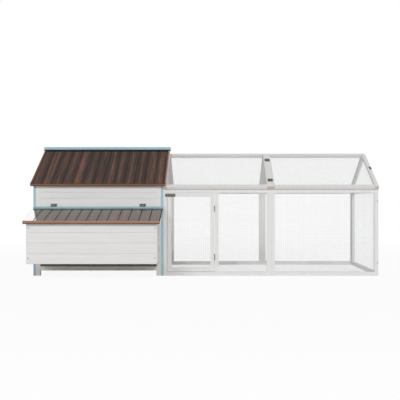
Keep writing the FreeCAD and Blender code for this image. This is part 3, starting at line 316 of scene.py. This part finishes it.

# Eave and rake trims: thin fir strips nailed over the planks' ends, in a clear orange-brown stain. The
# roof's stain has run over their upper edge, and painted shade darkens their lower edge.
TRIM_STAIN = ("#B07654", "#8A593F")
TRIM_HIGH = 22 * MM
TRIM_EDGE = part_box("roof_trims")[0][2]
# Painted shade: the trim darkens towards its lower edge, so its upper part reads lit.
TRIM_LOW_SHADE = "#5E3B2D"
TRIM_LOW_SHADE_REACH = (2 * MM, 8 * MM)
TRIM_RUN_REACH = (5 * MM, 7 * MM)
orange_trim = planed_fir("orange_brown_stain", *TRIM_STAIN, ALONG_X)
stain_or_shade_band(orange_trim, TRIM_LOW_SHADE, TRIM_EDGE, *TRIM_LOW_SHADE_REACH)
stain_or_shade_band(orange_trim, ROOF_STAIN[1], TRIM_EDGE + TRIM_HIGH, *TRIM_RUN_REACH)
dress(orange_trim, "roof_trims")

# Ridge beam: one blue-painted plank on edge that the planks of both slopes butt against. Its foot,
# where it meets the roof, is darkened with painted shade.
# Painted shade along the beam's foot, in the joint with the roof.
BEAM_FOOT_SHADE = "#23282A"
BEAM_FOOT_SHADE_REACH = (5 * MM, 7 * MM)
blue_ridge = painted_fir("blue_paint_ridge", *BLUE, ALONG_X)
stain_or_shade_band(blue_ridge, BEAM_FOOT_SHADE, ROOF_TOP, *BEAM_FOOT_SHADE_REACH)
dress(blue_ridge, "ridge_beam")

# Nest box: white jointed boards screwed round a fir floor, dividers and corner battens, and hung on
# the front wall over the openings to the nests.
dress(white_level, "nest_front_boards", arris=BOARD_ARRIS)
dress(white_across, "nest_side_boards", arris=BOARD_ARRIS)
dress(fir_level, "nest_floor")
dress(fir_across, "nest_dividers")
dress(fir_upright, "nest_corner_battens")

# Nest lid: planks stained dark brown under a gloss varnish, on two battens, with a blue rail along
# the back edge that carries the hinges. Joints between the planks and under the rail are open and dark,
# and painted shade darkens the planks under the rail.
LID_STAIN = ("#785A4B", "#5A4A42", "#4C3E38", "#2A1813")
LID_ROUGHNESS = 0.15
LID_GLOSS = 0.9
LID_TILT = math.radians(17)
DOWN_FRONT = (-LID_TILT, 0, math.radians(-90))
LID_LEFT, LID_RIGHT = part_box("nest_lid_trim")[0][0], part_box("nest_lid_trim")[1][0]
LID_PLANKS = 13
LID_PLANK = (LID_RIGHT - LID_LEFT) / LID_PLANKS
LID_JOINT = 5 * MM
LID_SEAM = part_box("lid_hinge_rail")[0][2]
# Painted shade on the planks under the hinge rail.
LID_SEAM_SHADE = "#2A2422"
LID_SEAM_SHADE_REACH = (4 * MM, 8 * MM)
lid_stain = stained_planks("varnished_brown_stain", LID_STAIN, DOWN_FRONT, LID_LEFT, LID_PLANK, LID_JOINT,
                           LID_ROUGHNESS, LID_GLOSS)
stain_or_shade_band(lid_stain, LID_SEAM_SHADE, LID_SEAM, *LID_SEAM_SHADE_REACH)
dress(lid_stain, "nest_lid_planks", arris=BOARD_ARRIS)
dress(fir_level, "nest_lid_battens")
FADED_STAIN = ("#B69884", "#9E755C")
LID_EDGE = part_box("nest_lid_trim")[0][2]
# Painted shade and highlight: the trim darkens towards its lower edge, so its upper edge reads lit.
LID_TRIM_SHADE = "#7E4A30"
LID_TRIM_SHADE_REACH = (6 * MM, 12 * MM)
faded_trim = planed_fir("faded_orange_stain", *FADED_STAIN, ALONG_X)
stain_or_shade_band(faded_trim, LID_TRIM_SHADE, LID_EDGE, *LID_TRIM_SHADE_REACH)
dress(faded_trim, "nest_lid_trim")
blue_level = painted_fir("blue_paint_level", *BLUE, ALONG_X)
dress(blue_level, "lid_hinge_rail")

# Hinges, bolts and tie plates: pressed mild steel with zinc plating that has dulled to grey-brown. The
# leaves are rolled round their pins, and every plate is screwed on.
ZINC_PLATING = ("#807B72", "#AAA499")
TARNISH = 18 * MM


def worn_metal(name, dull, clean, patch, metallic):
    """Coated steel that has dulled in patches: colour and shine change together."""
    material, tree, shader = new_material(name)
    place = add(tree, COORDINATES, {}, "Object")
    wear = add(tree, NOISE, {"Vector": place, "Scale": 1 / patch, "Detail": 2.0})
    clean_share = add(tree, MAP_RANGE, {0: wear, IN_LOW: 0.35, IN_HIGH: 0.65})
    colour = add(tree, MIX, {0: clean_share, FIRST: linear(dull), SECOND: linear(clean)}, MIXED,
                 data_type="RGBA")
    tree.links.new(colour, shader.inputs["Base Color"])
    shine = add(tree, MAP_RANGE, {0: wear, IN_LOW: 0.3, IN_HIGH: 0.7, OUT_LOW: 0.55, OUT_HIGH: 0.35})
    tree.links.new(shine, shader.inputs["Roughness"])
    shader.inputs["Metallic"].default_value = metallic
    return material


dull_zinc = worn_metal("dull_zinc_plated_steel", *ZINC_PLATING, TARNISH, metallic=0.9)
for name in nodes:
    if name.endswith("_leaves") or "_bolt_" in name or name == "roof_tie_plates":
        dress(dull_zinc, name, arris=None)

# Run walls and door: planed fir sticks, butted and screwed into frames and then painted white. The
# door's frame is made in the same way and hangs on the post to its right.
dress(white_upright, "run_front_frame_left", "run_front_frame_right", "run_back_frame_left",
      "run_back_frame_right", "run_end_frame", "run_door_frame")

# Run roof: frames of the same sticks. The rafters were cut to length after painting, so their feet
# show bare end grain along the eave.
END_GRAIN = "#D5C1B2"
RAW_DEPTH = 1.5 * MM
RUN_PITCH = math.radians(32)
RUN_UP_FRONT = (-RUN_PITCH, 0, math.radians(-90))
RUN_UP_BACK = (RUN_PITCH, 0, math.radians(-90))
STICK_WIDE = 31 * MM
STICK_THICK = 24 * MM
RUN_LEFT, EAVE_FRONT, EAVE_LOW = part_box("run_roof_front_frame_left")[0]
RUN_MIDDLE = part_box("run_roof_front_frame_left")[1][0]
RUN_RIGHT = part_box("run_roof_front_frame_right")[1][0]
EAVE_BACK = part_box("run_roof_back_frame_left")[1][1]
EAVE_TOP = EAVE_LOW + STICK_THICK * math.cos(RUN_PITCH)
MODULE = RUN_MIDDLE - RUN_LEFT


def rafter_paint(name, turn, front):
    """White paint with bare end grain on the rafters' feet."""
    material = painted_fir(name, *WHITE, turn)
    tree = material.node_tree
    shader = tree.nodes["Principled BSDF"]
    paint = shader.inputs["Base Color"].links[0].from_socket
    x, y, z = add(tree, SEPARATE, {0: add(tree, COORDINATES, {}, "Object")}).node.outputs
    inward = math.cos(RUN_PITCH) if front else -math.cos(RUN_PITCH)
    foot = (EAVE_FRONT if front else EAVE_BACK) * inward + EAVE_TOP * math.sin(RUN_PITCH)
    level = add(tree, MATH, {0: y, 1: inward, 2: -foot}, operation="MULTIPLY_ADD")
    climb = add(tree, MATH, {0: z, 1: math.sin(RUN_PITCH), 2: level}, operation="MULTIPLY_ADD")
    at_foot = add(tree, MATH, {0: climb, 1: RAW_DEPTH}, operation="LESS_THAN")
    from_left = add(tree, MATH, {0: x, 1: RUN_LEFT}, operation="SUBTRACT")
    # Pingpong rises from every module's end to its middle, and falls again.
    from_end = add(tree, MATH, {0: from_left, 1: MODULE / 2}, operation="PINGPONG")
    on_rafter = add(tree, MATH, {0: from_end, 1: STICK_WIDE}, operation="LESS_THAN")
    bare = add(tree, MATH, {0: at_foot, 1: on_rafter}, operation="MULTIPLY")
    colour = add(tree, MIX, {0: bare, FIRST: paint, SECOND: linear(END_GRAIN)}, MIXED, data_type="RGBA")
    tree.links.new(colour, shader.inputs["Base Color"])
    return material


rafters_front = rafter_paint("white_paint_front_slope", RUN_UP_FRONT, True)
rafters_back = rafter_paint("white_paint_back_slope", RUN_UP_BACK, False)
for side in ("left", "right"):
    dress(rafters_front, f"run_roof_front_frame_{side}")
    dress(rafters_back, f"run_roof_back_frame_{side}")

# Welded wire: galvanised square mesh, one sheet for each frame, stapled to the inside of the walls
# and to the top of the roof frames. Upright wires lie on the wood, level ones are welded to them.
ZINC_COAT = ("#DDE0E2", "#EEF0F1")
ZINC_BLOOM = 30 * MM
WIRE_RADIUS = 0.4 * MM
WIRE_PITCH = 16 * MM
LAP = 6 * MM
# The wire's coat is matt with white bloom, so it is less of a mirror than bare zinc.
zinc_wire = worn_metal("zinc_coated_wire", *ZINC_COAT, ZINC_BLOOM, metallic=0.1)


def new_tree(name, numbers):
    """Empty geometry tree with named number inputs; returns it and its input sockets."""
    tree = bpy.data.node_groups.new(name, "GeometryNodeTree")
    tree.interface.new_socket("Start", in_out="INPUT", socket_type="NodeSocketGeometry")
    for label in numbers:
        tree.interface.new_socket(label, in_out="INPUT", socket_type="NodeSocketFloat")
    tree.interface.new_socket("Result", in_out="OUTPUT", socket_type="NodeSocketGeometry")
    return tree, add(tree, "NodeGroupInput", {}).node.outputs


def close_tree(tree, geometry, material):
    """End a geometry tree with real meshes that carry one material."""
    real = add(tree, "GeometryNodeRealizeInstances", {0: geometry})
    coated = add(tree, "GeometryNodeSetMaterial", {"Geometry": real, "Material": material})
    add(tree, "NodeGroupOutput", {0: coated})


# The sheet stands in x and z with its wires towards y. Above Shoulder its sides lean in by Rise.
VECTOR, SET_ON_POINTS = "ShaderNodeCombineXYZ", "GeometryNodeInstanceOnPoints"
WIRE_SIZES = ("Width", "Shoulder", "Rise", "Pitch", "Radius")
NO_RISE = 1e-6
wire_tree, given = new_tree("welded_wire", WIRE_SIZES)
tree = wire_tree
width, shoulder, rise, pitch, radius = [given[label] for label in WIRE_SIZES]
rod = add(tree, "GeometryNodeMeshCylinder", {"Vertices": 6, "Radius": radius, "Depth": 1.0})
standing = add(tree, "GeometryNodeTransform", {"Geometry": rod, "Translation": (0, 0, 0.5)})
lying = add(tree, "GeometryNodeTransform", {"Geometry": standing, "Rotation": (0, math.radians(90), 0)})
spot = add(tree, SEPARATE, {0: add(tree, "GeometryNodeInputPosition", {})}).node.outputs
# Upright wires, each as tall as the sheet is above its foot.
wide_count = add(tree, MATH, {0: width, 1: pitch}, operation="DIVIDE")
columns = add(tree, MATH, {0: wide_count}, operation="CEIL")
column_step = add(tree, VECTOR, {0: add(tree, MATH, {0: width, 1: columns}, operation="DIVIDE")})
feet = add(tree, "GeometryNodeMeshLine", {
    "Count": add(tree, MATH, {0: columns, 1: 1.0}, operation="ADD"), "Offset": column_step,
    "Start Location": add(tree, VECTOR, {1: radius})})
from_right = add(tree, MATH, {0: width, 1: spot[0]}, operation="SUBTRACT")
from_side = add(tree, MATH, {0: spot[0], 1: from_right}, operation="MINIMUM")
tall = add(tree, MATH, {0: from_side, 1: rise, 2: shoulder}, operation="MULTIPLY_ADD")
uprights = add(tree, SET_ON_POINTS, {
    "Points": feet, "Instance": standing, "Scale": add(tree, VECTOR, {0: 1.0, 1: 1.0, 2: tall})})
# Level wires in a second layer, each starting where the leaning side has come to.
half = add(tree, MATH, {0: width, 1: 0.5}, operation="MULTIPLY")
peak = add(tree, MATH, {0: half, 1: rise, 2: shoulder}, operation="MULTIPLY_ADD")
high_count = add(tree, MATH, {0: peak, 1: pitch}, operation="DIVIDE")
rows = add(tree, MATH, {0: high_count}, operation="CEIL")
row_step = add(tree, VECTOR, {2: add(tree, MATH, {0: peak, 1: rows}, operation="DIVIDE")})
flat_top = add(tree, MATH, {0: rise, 1: NO_RISE}, operation="LESS_THAN")
second_layer = add(tree, MATH, {0: radius, 1: 3.0}, operation="MULTIPLY")
starts = add(tree, "GeometryNodeMeshLine", {
    "Count": add(tree, MATH, {0: rows, 1: flat_top}, operation="ADD"), "Offset": row_step,
    "Start Location": add(tree, VECTOR, {1: second_layer})})
above = add(tree, MATH, {0: spot[2], 1: shoulder}, operation="SUBTRACT")
above = add(tree, MATH, {0: above, 1: NO_RISE}, operation="MAXIMUM")
leaning = add(tree, MATH, {0: rise, 1: NO_RISE}, operation="GREATER_THAN")
steepness = add(tree, MATH, {0: rise, 1: NO_RISE}, operation="MAXIMUM")
lean = add(tree, MATH, {0: above, 1: steepness}, operation="DIVIDE")
lean = add(tree, MATH, {0: lean, 1: leaning}, operation="MULTIPLY")
starts = add(tree, "GeometryNodeSetPosition", {"Geometry": starts, "Offset": add(tree, VECTOR, {0: lean})})
long = add(tree, MATH, {0: spot[0], 1: -2.0, 2: width}, operation="MULTIPLY_ADD")
levels = add(tree, SET_ON_POINTS, {
    "Points": starts, "Instance": lying, "Scale": add(tree, VECTOR, {0: long, 1: 1.0, 2: 1.0})})
both = add(tree, "GeometryNodeJoinGeometry", {0: uprights})
tree.links.new(levels, both.node.inputs[0])
close_tree(tree, both, zinc_wire)


def grown(tree, start, **numbers):
    """Plain mesh that a geometry tree makes from a start mesh and its number inputs."""
    maker = bpy.data.objects.new("maker", start)
    bpy.context.collection.objects.link(maker)
    modifier = maker.modifiers.new("grow", "NODES")
    modifier.node_group = tree
    for socket in tree.interface.items_tree:
        if socket.name in numbers:
            modifier[socket.identifier] = numbers[socket.name]
    evaluated = maker.evaluated_get(bpy.context.evaluated_depsgraph_get())
    mesh = bpy.data.meshes.new_from_object(evaluated)
    maker.modifiers.clear()
    bpy.data.objects.remove(maker)
    return mesh


def finished(name, meshes, body):
    """One object at the origin from several meshes, riding on a body."""
    joined = bmesh.new()
    for mesh in meshes:
        joined.from_mesh(mesh)
    for face in joined.faces:
        face.material_index = 0
    whole = bpy.data.meshes.new(name)
    joined.to_mesh(whole)
    joined.free()
    # A mesh primitive starts with an empty slot, so the material set by the tree is the last one.
    whole.materials.append(meshes[0].materials[-1])
    piece = bpy.data.objects.new(name, whole)
    bpy.context.collection.objects.link(piece)
    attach(piece, body)
    return piece


def wire_sheet(corner, along, up, wide, high, narrowing=0.0):
    """Sheet of wire from one corner, its wires on the side of up x along."""
    mesh = grown(wire_tree, bpy.data.meshes.new("start"), Width=wide, Shoulder=high, Rise=narrowing,
                 Pitch=WIRE_PITCH, Radius=WIRE_RADIUS)
    along, up = Vector(along), Vector(up)
    turn = Matrix((along, up.cross(along), up)).transposed().to_4x4()
    mesh.transform(Matrix.Translation(corner) @ turn)
    return mesh


def wire_piece(name, sheets, body, stand_in):
    """The sheets of one body as a piece that replaces their plain panels."""
    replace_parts(finished(name, sheets, body), stand_in)


RIGHT, LEFT, BACKWARD, UP = (1, 0, 0), (-1, 0, 0), (0, 1, 0), (0, 0, 1)
front_low, front_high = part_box("run_front_mesh")
back_low, back_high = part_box("run_back_mesh")
door_low, door_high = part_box("run_door_mesh")
NET_WIDE = MODULE - 2 * STICK_WIDE + 2 * LAP
NET_HIGH = front_high[2] - front_low[2]
LEFT_END = RUN_MIDDLE - STICK_WIDE + LAP
RIGHT_START = RUN_MIDDLE + STICK_WIDE - LAP
wire_piece("run_front_wire", [
    wire_sheet(front_low, RIGHT, UP, LEFT_END - front_low[0], NET_HIGH),
    wire_sheet((RIGHT_START, front_low[1], front_low[2]), RIGHT, UP, NET_WIDE, NET_HIGH),
], "coop_frame", "run_front_mesh")
wire_piece("run_back_wire", [
    wire_sheet((x, back_high[1], back_low[2]), LEFT, UP, NET_WIDE, NET_HIGH)
    for x in (LEFT_END, RIGHT_START + NET_WIDE)
], "coop_frame", "run_back_mesh")
wire_piece("run_door_wire", [
    wire_sheet(door_low, RIGHT, UP, door_high[0] - door_low[0], door_high[2] - door_low[2]),
], "run_door", "run_door_mesh")

end_low, end_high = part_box("run_end_mesh")
END_START = front_low[1] + STICK_WIDE - LAP
END_WIDE = back_high[1] - front_low[1] - 2 * STICK_WIDE + 2 * LAP
GABLE_RISE = math.tan(RUN_PITCH)
GABLE_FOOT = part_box("run_end_frame")[1][2] - LAP
GABLE_WIDE = end_high[1] - end_low[1]
GABLE_SHOULDER = end_high[2] - GABLE_WIDE / 2 * GABLE_RISE - GABLE_FOOT
GABLE_CORNER = (end_high[0], end_low[1], GABLE_FOOT)
wire_piece("run_end_wire", [
    wire_sheet((end_high[0], END_START, end_low[2]), BACKWARD, UP, END_WIDE, NET_HIGH),
    wire_sheet(GABLE_CORNER, BACKWARD, UP, GABLE_WIDE, GABLE_SHOULDER, GABLE_RISE),
], "coop_frame", "run_end_mesh")

RUN_SLOPE = (EAVE_BACK - EAVE_FRONT) / 2 / math.cos(RUN_PITCH)
SLOPE_HIGH = RUN_SLOPE - 2 * STICK_WIDE + 2 * LAP
# For each slope: where its eave is, the way up it and the way out of it.
FRONT_SLOPE = (EAVE_FRONT, Vector((0, math.cos(RUN_PITCH), math.sin(RUN_PITCH))),
               Vector((0, -math.sin(RUN_PITCH), math.cos(RUN_PITCH))))
BACK_SLOPE = (EAVE_BACK, Vector((0, -math.cos(RUN_PITCH), math.sin(RUN_PITCH))),
              Vector((0, math.sin(RUN_PITCH), math.cos(RUN_PITCH))))


def on_slope(slope, x, climb, lift):
    """Point on the run's roof: x, distance up the slope from the eave, height above the sticks."""
    eave, up, out = slope
    return Vector((x, eave, EAVE_TOP)) + up * climb + out * lift


roof_sheets = []
for left in (LEFT_END - NET_WIDE, RIGHT_START):
    for slope, way, x in ((FRONT_SLOPE, RIGHT, left), (BACK_SLOPE, LEFT, left + NET_WIDE)):
        # The wires lie towards the sticks, so the sheet's corner is two wires above them.
        corner = on_slope(slope, x, STICK_WIDE - LAP, 4 * WIRE_RADIUS)
        roof_sheets.append(wire_sheet(corner, way, slope[1], NET_WIDE, SLOPE_HIGH))
wire_piece("run_roof_wire", roof_sheets, "coop_frame", "run_roof_mesh")

# Screws: blackened steel with pan heads, driven through plates and boards into the wood. Each head is
# set on its plate or board and faces out of it.
BLACKENED = ("#211F1D", "#34302C")
HEAD_WEAR = 6 * MM
HEAD_RADIUS = 3.8 * MM
HEAD_HIGH = 1.6 * MM
HEAD_CROWN = 0.6
blackened = worn_metal("blackened_screw_steel", *BLACKENED, HEAD_WEAR, metallic=0.4)
screw_tree, given = new_tree("screw_heads", ("Radius", "Depth"))
crown = add(screw_tree, MATH, {0: given["Radius"], 1: HEAD_CROWN}, operation="MULTIPLY")
head = add(screw_tree, "GeometryNodeMeshCone", {
    "Vertices": 12, "Radius Top": crown, "Radius Bottom": given["Radius"], "Depth": given["Depth"]})
facing = add(screw_tree, "GeometryNodeInputNamedAttribute", {"Name": "facing"}, data_type="FLOAT_VECTOR")
turned = add(screw_tree, "FunctionNodeAlignRotationToVector", {"Vector": facing}, axis="Z")
set_in = add(screw_tree, SET_ON_POINTS, {"Points": given["Start"], "Instance": head, "Rotation": turned})
close_tree(screw_tree, set_in, blackened)


def screws(name, body, places):
    """Screw heads at points, each with the way that it faces."""
    points = bpy.data.meshes.new("screw_points")
    points.from_pydata([at for at, way in places], [], [])
    ways = points.attributes.new("facing", "FLOAT_VECTOR", "POINT")
    for entry, (at, way) in zip(ways.data, places):
        entry.vector = way
    heads = grown(screw_tree, points, Radius=HEAD_RADIUS, Depth=HEAD_HIGH)
    finished(name, [heads], body)


# In the corners of the nest box's front.
FORWARD = (0, -1, 0)
NEST_SCREW_IN = 16 * MM
NEST_SCREW_RISE = 45 * MM
nest_low, nest_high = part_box("nest_front_boards")
fixed_screws = [((x, nest_low[1], z), FORWARD)
                for x in (nest_low[0] + NEST_SCREW_IN, nest_high[0] - NEST_SCREW_IN)
                for z in (nest_low[2] + NEST_SCREW_RISE, nest_high[2] - NEST_SCREW_RISE)]

# Four in each plate that ties the halves of the run's roof, and two in the plates at its end.
PLATE_THICK = 2 * MM
PLATE_CLIMBS = (100 * MM, 440 * MM)
PLATE_SCREW = 12 * MM
END_PLATE_CLIMB = 300 * MM
END_PLATE_SCREW = 9 * MM
for slope in (FRONT_SLOPE, BACK_SLOPE):
    spots = [(RUN_MIDDLE + across, climb + along) for climb in PLATE_CLIMBS
             for across in (-PLATE_SCREW, PLATE_SCREW) for along in (-PLATE_SCREW, PLATE_SCREW)]
    spots += [(RUN_RIGHT - END_PLATE_SCREW, END_PLATE_CLIMB + along)
              for along in (-PLATE_SCREW, PLATE_SCREW)]
    fixed_screws += [(on_slope(slope, x, climb, PLATE_THICK), slope[2]) for x, climb in spots]

# Three in each leaf of the lid's hinges that is screwed to the wall.
LEAF_THICK = 1.2 * MM
LEAF_WIDE = 16 * MM
LEAF_SCREWS = (9 * MM, 25 * MM, 41 * MM)
LEAF_MIDDLE = 10 * MM
KNUCKLE_RADIUS = 3 * MM
leaf_low, leaf_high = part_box("lid_hinge_fixed_leaves")
leaf_xs = [leaf_low[0] + x for x in LEAF_SCREWS] + [leaf_high[0] - x for x in LEAF_SCREWS]
axis_y, axis_z = leaf_low[1] + KNUCKLE_RADIUS, leaf_high[2] - LEAF_WIDE
fixed_screws += [((x, leaf_high[1] - LEAF_THICK, axis_z + LEAF_MIDDLE), FORWARD) for x in leaf_xs]

# Two in the run's right front post, which hold it to the end frame.
POST_SCREW_HEIGHTS = (103 * MM, 597 * MM)
post_x, post_face = RUN_RIGHT - STICK_WIDE / 4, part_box("run_front_frame_right")[0][1]
fixed_screws += [((post_x, post_face, z), FORWARD) for z in POST_SCREW_HEIGHTS]

BOLT_PLATE = 1.5 * MM
PLATE_EDGE = 5 * MM


def plate_screws(node, across, facing_axis):
    """Screws at the corners of a bolt's plate, or in pairs on the short plate of a keeper."""
    low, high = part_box(node)
    face = high[facing_axis] - BOLT_PLATE
    way = [0, 0, 0]
    way[facing_axis] = -1
    ends = {low[across] + PLATE_EDGE, high[across] - PLATE_EDGE}
    if high[across] - low[across] < 4 * PLATE_EDGE:
        ends = {(low[across] + high[across]) / 2}
    places = []
    for end in sorted(ends):
        for z in (low[2] + PLATE_EDGE, high[2] - PLATE_EDGE):
            at = [0, 0, z]
            at[across] = end
            at[facing_axis] = face
            places.append((at, way))
    return places


fixed_screws += plate_screws("door_bolt_keeper", 0, 1) + plate_screws("side_bolt_keeper", 1, 0)
screws("frame_screws", "coop_frame", fixed_screws)
screws("run_door_screws", "run_door", plate_screws("door_bolt_case", 0, 1))
screws("side_door_screws", "side_door", plate_screws("side_bolt_case", 1, 0))

# Three in each leaf of the lid's hinges that is screwed to the lid's rail, tilted as the lid is.
down_lid = Vector((0, -math.cos(LID_TILT), -math.sin(LID_TILT)))
out_of_lid = Vector((0, -math.sin(LID_TILT), math.cos(LID_TILT)))
seat_drop = leaf_high[1] - axis_y - LEAF_THICK
lid_places = [Vector((x, axis_y, axis_z)) + down_lid * LEAF_MIDDLE - out_of_lid * seat_drop for x in leaf_xs]
screws("nest_lid_screws", "nest_lid", [(at, out_of_lid) for at in lid_places])

# Floor: a pale studio paper that fades to the white background. It is cleared to white round the
# coop, and keeps more of its shadows inside the run.
FLOOR_REACH = 60.0
PAPER = "#F2F2F2"
PURE_WHITE = linear("#FFFFFF")
NEAR, FAR = 2.2, 5.0
CLEARED_NEAR = 0.92
CLEARED_IN_RUN = 0.6
RUN_CENTRE = ((RUN_LEFT + RUN_RIGHT) / 2, (front_low[1] + back_high[1]) / 2, 0)
VECTOR_MATH, LIGHT_PATH = "ShaderNodeVectorMath", "ShaderNodeLightPath"
floor_mesh = bpy.data.meshes.new("floor")
corners = [(x * FLOOR_REACH, y * FLOOR_REACH, 0) for x, y in ((-1, -1), (1, -1), (1, 1), (-1, 1))]
floor_mesh.from_pydata(corners, [], [(0, 1, 2, 3)])
floor = bpy.data.objects.new("floor", floor_mesh)
bpy.context.collection.objects.link(floor)
floor_paper, tree, shader = new_material("floor_paper")
place = add(tree, COORDINATES, {}, "Object")
distance = add(tree, VECTOR_MATH, {0: place}, "Value", operation="LENGTH")
white_share = add(tree, MAP_RANGE, {
    0: distance, IN_LOW: NEAR, IN_HIGH: FAR, OUT_LOW: CLEARED_NEAR, OUT_HIGH: 1.0})
from_run = add(tree, VECTOR_MATH, {0: place, 1: RUN_CENTRE}, operation="SUBTRACT")
off_run = add(tree, VECTOR_MATH, {0: from_run}, operation="ABSOLUTE")
off_x, off_y = add(tree, SEPARATE, {0: off_run}).node.outputs[:2]
within_length = add(tree, MATH, {0: off_x, 1: (RUN_RIGHT - RUN_LEFT) / 2}, operation="LESS_THAN")
within_depth = add(tree, MATH, {0: off_y, 1: (back_high[1] - front_low[1]) / 2}, operation="LESS_THAN")
in_run = add(tree, MATH, {0: within_length, 1: within_depth}, operation="MULTIPLY")
white_share = add(tree, MIX, {0: in_run, 2: white_share, 3: CLEARED_IN_RUN}, data_type="FLOAT")
seen = add(tree, LIGHT_PATH, {}, "Is Camera Ray")
glow = add(tree, MATH, {0: white_share, 1: seen}, operation="MULTIPLY")
paper = add(tree, "ShaderNodeBsdfDiffuse", {"Color": linear(PAPER)})
white = add(tree, "ShaderNodeEmission", {"Color": PURE_WHITE, "Strength": 1.0})
mixed = add(tree, "ShaderNodeMixShader", {0: glow, 1: paper, 2: white})
tree.links.new(mixed, tree.nodes["Material Output"].inputs["Surface"])
floor_mesh.materials.append(floor_paper)

# Light: a weak white sky that the camera sees as pure white, and three large soft lamps far enough
# away to light the back of the run nearly as well as the front.
SKY_LIGHT = 0.37
LAMPS_AIM = (0.0, -0.3, 0.6)
world = bpy.data.worlds.new("studio")
bpy.context.scene.world = world
world.use_nodes = True
tree = world.node_tree
shown = add(tree, LIGHT_PATH, {}, "Is Camera Ray")
background = tree.nodes["Background"]
background.inputs["Color"].default_value = PURE_WHITE
brightness = add(tree, MAP_RANGE, {0: shown, OUT_LOW: SKY_LIGHT, OUT_HIGH: 1.0})
tree.links.new(brightness, background.inputs["Strength"])


def softbox(name, wide, high, watts, place):
    """Rectangular studio lamp that faces the coop."""
    lamp = bpy.data.lights.new(name, "AREA")
    lamp.shape = "RECTANGLE"
    lamp.size, lamp.size_y = wide, high
    lamp.energy = watts
    stand = bpy.data.objects.new(name, lamp)
    stand.location = place
    stand.rotation_euler = (Vector(LAMPS_AIM) - Vector(place)).to_track_quat("-Z", "Y").to_euler()
    bpy.context.collection.objects.link(stand)


# The two in front leave both side faces light; the right one is the sharper. The one behind shines in
# the lid's varnish past the corner of the house.
softbox("key", wide=4.8, high=2.8, watts=2912, place=(9.6, -24.3, 17.4))
softbox("fill", wide=12.0, high=8.0, watts=2000, place=(-16.8, -23.1, 12.6))
softbox("back", wide=12.0, high=8.0, watts=1100, place=(-9.0, 24.0, 17.0))

# Camera: level and square to the front, a little above half the coop's height. The lens is shifted
# sideways to frame the coop as the photo does.
camera = bpy.data.cameras.new("camera")
camera.lens = 57.6
camera.sensor_width = 36.0
camera.shift_x = -0.03
camera_object = bpy.data.objects.new("camera", camera)
camera_object.location = (0.0635, -5.4275, 0.606)
camera_object.rotation_euler = (math.radians(90), 0, 0)
bpy.context.collection.objects.link(camera_object)
bpy.context.scene.camera = camera_object
bpy.context.scene.view_settings.view_transform = "Standard"
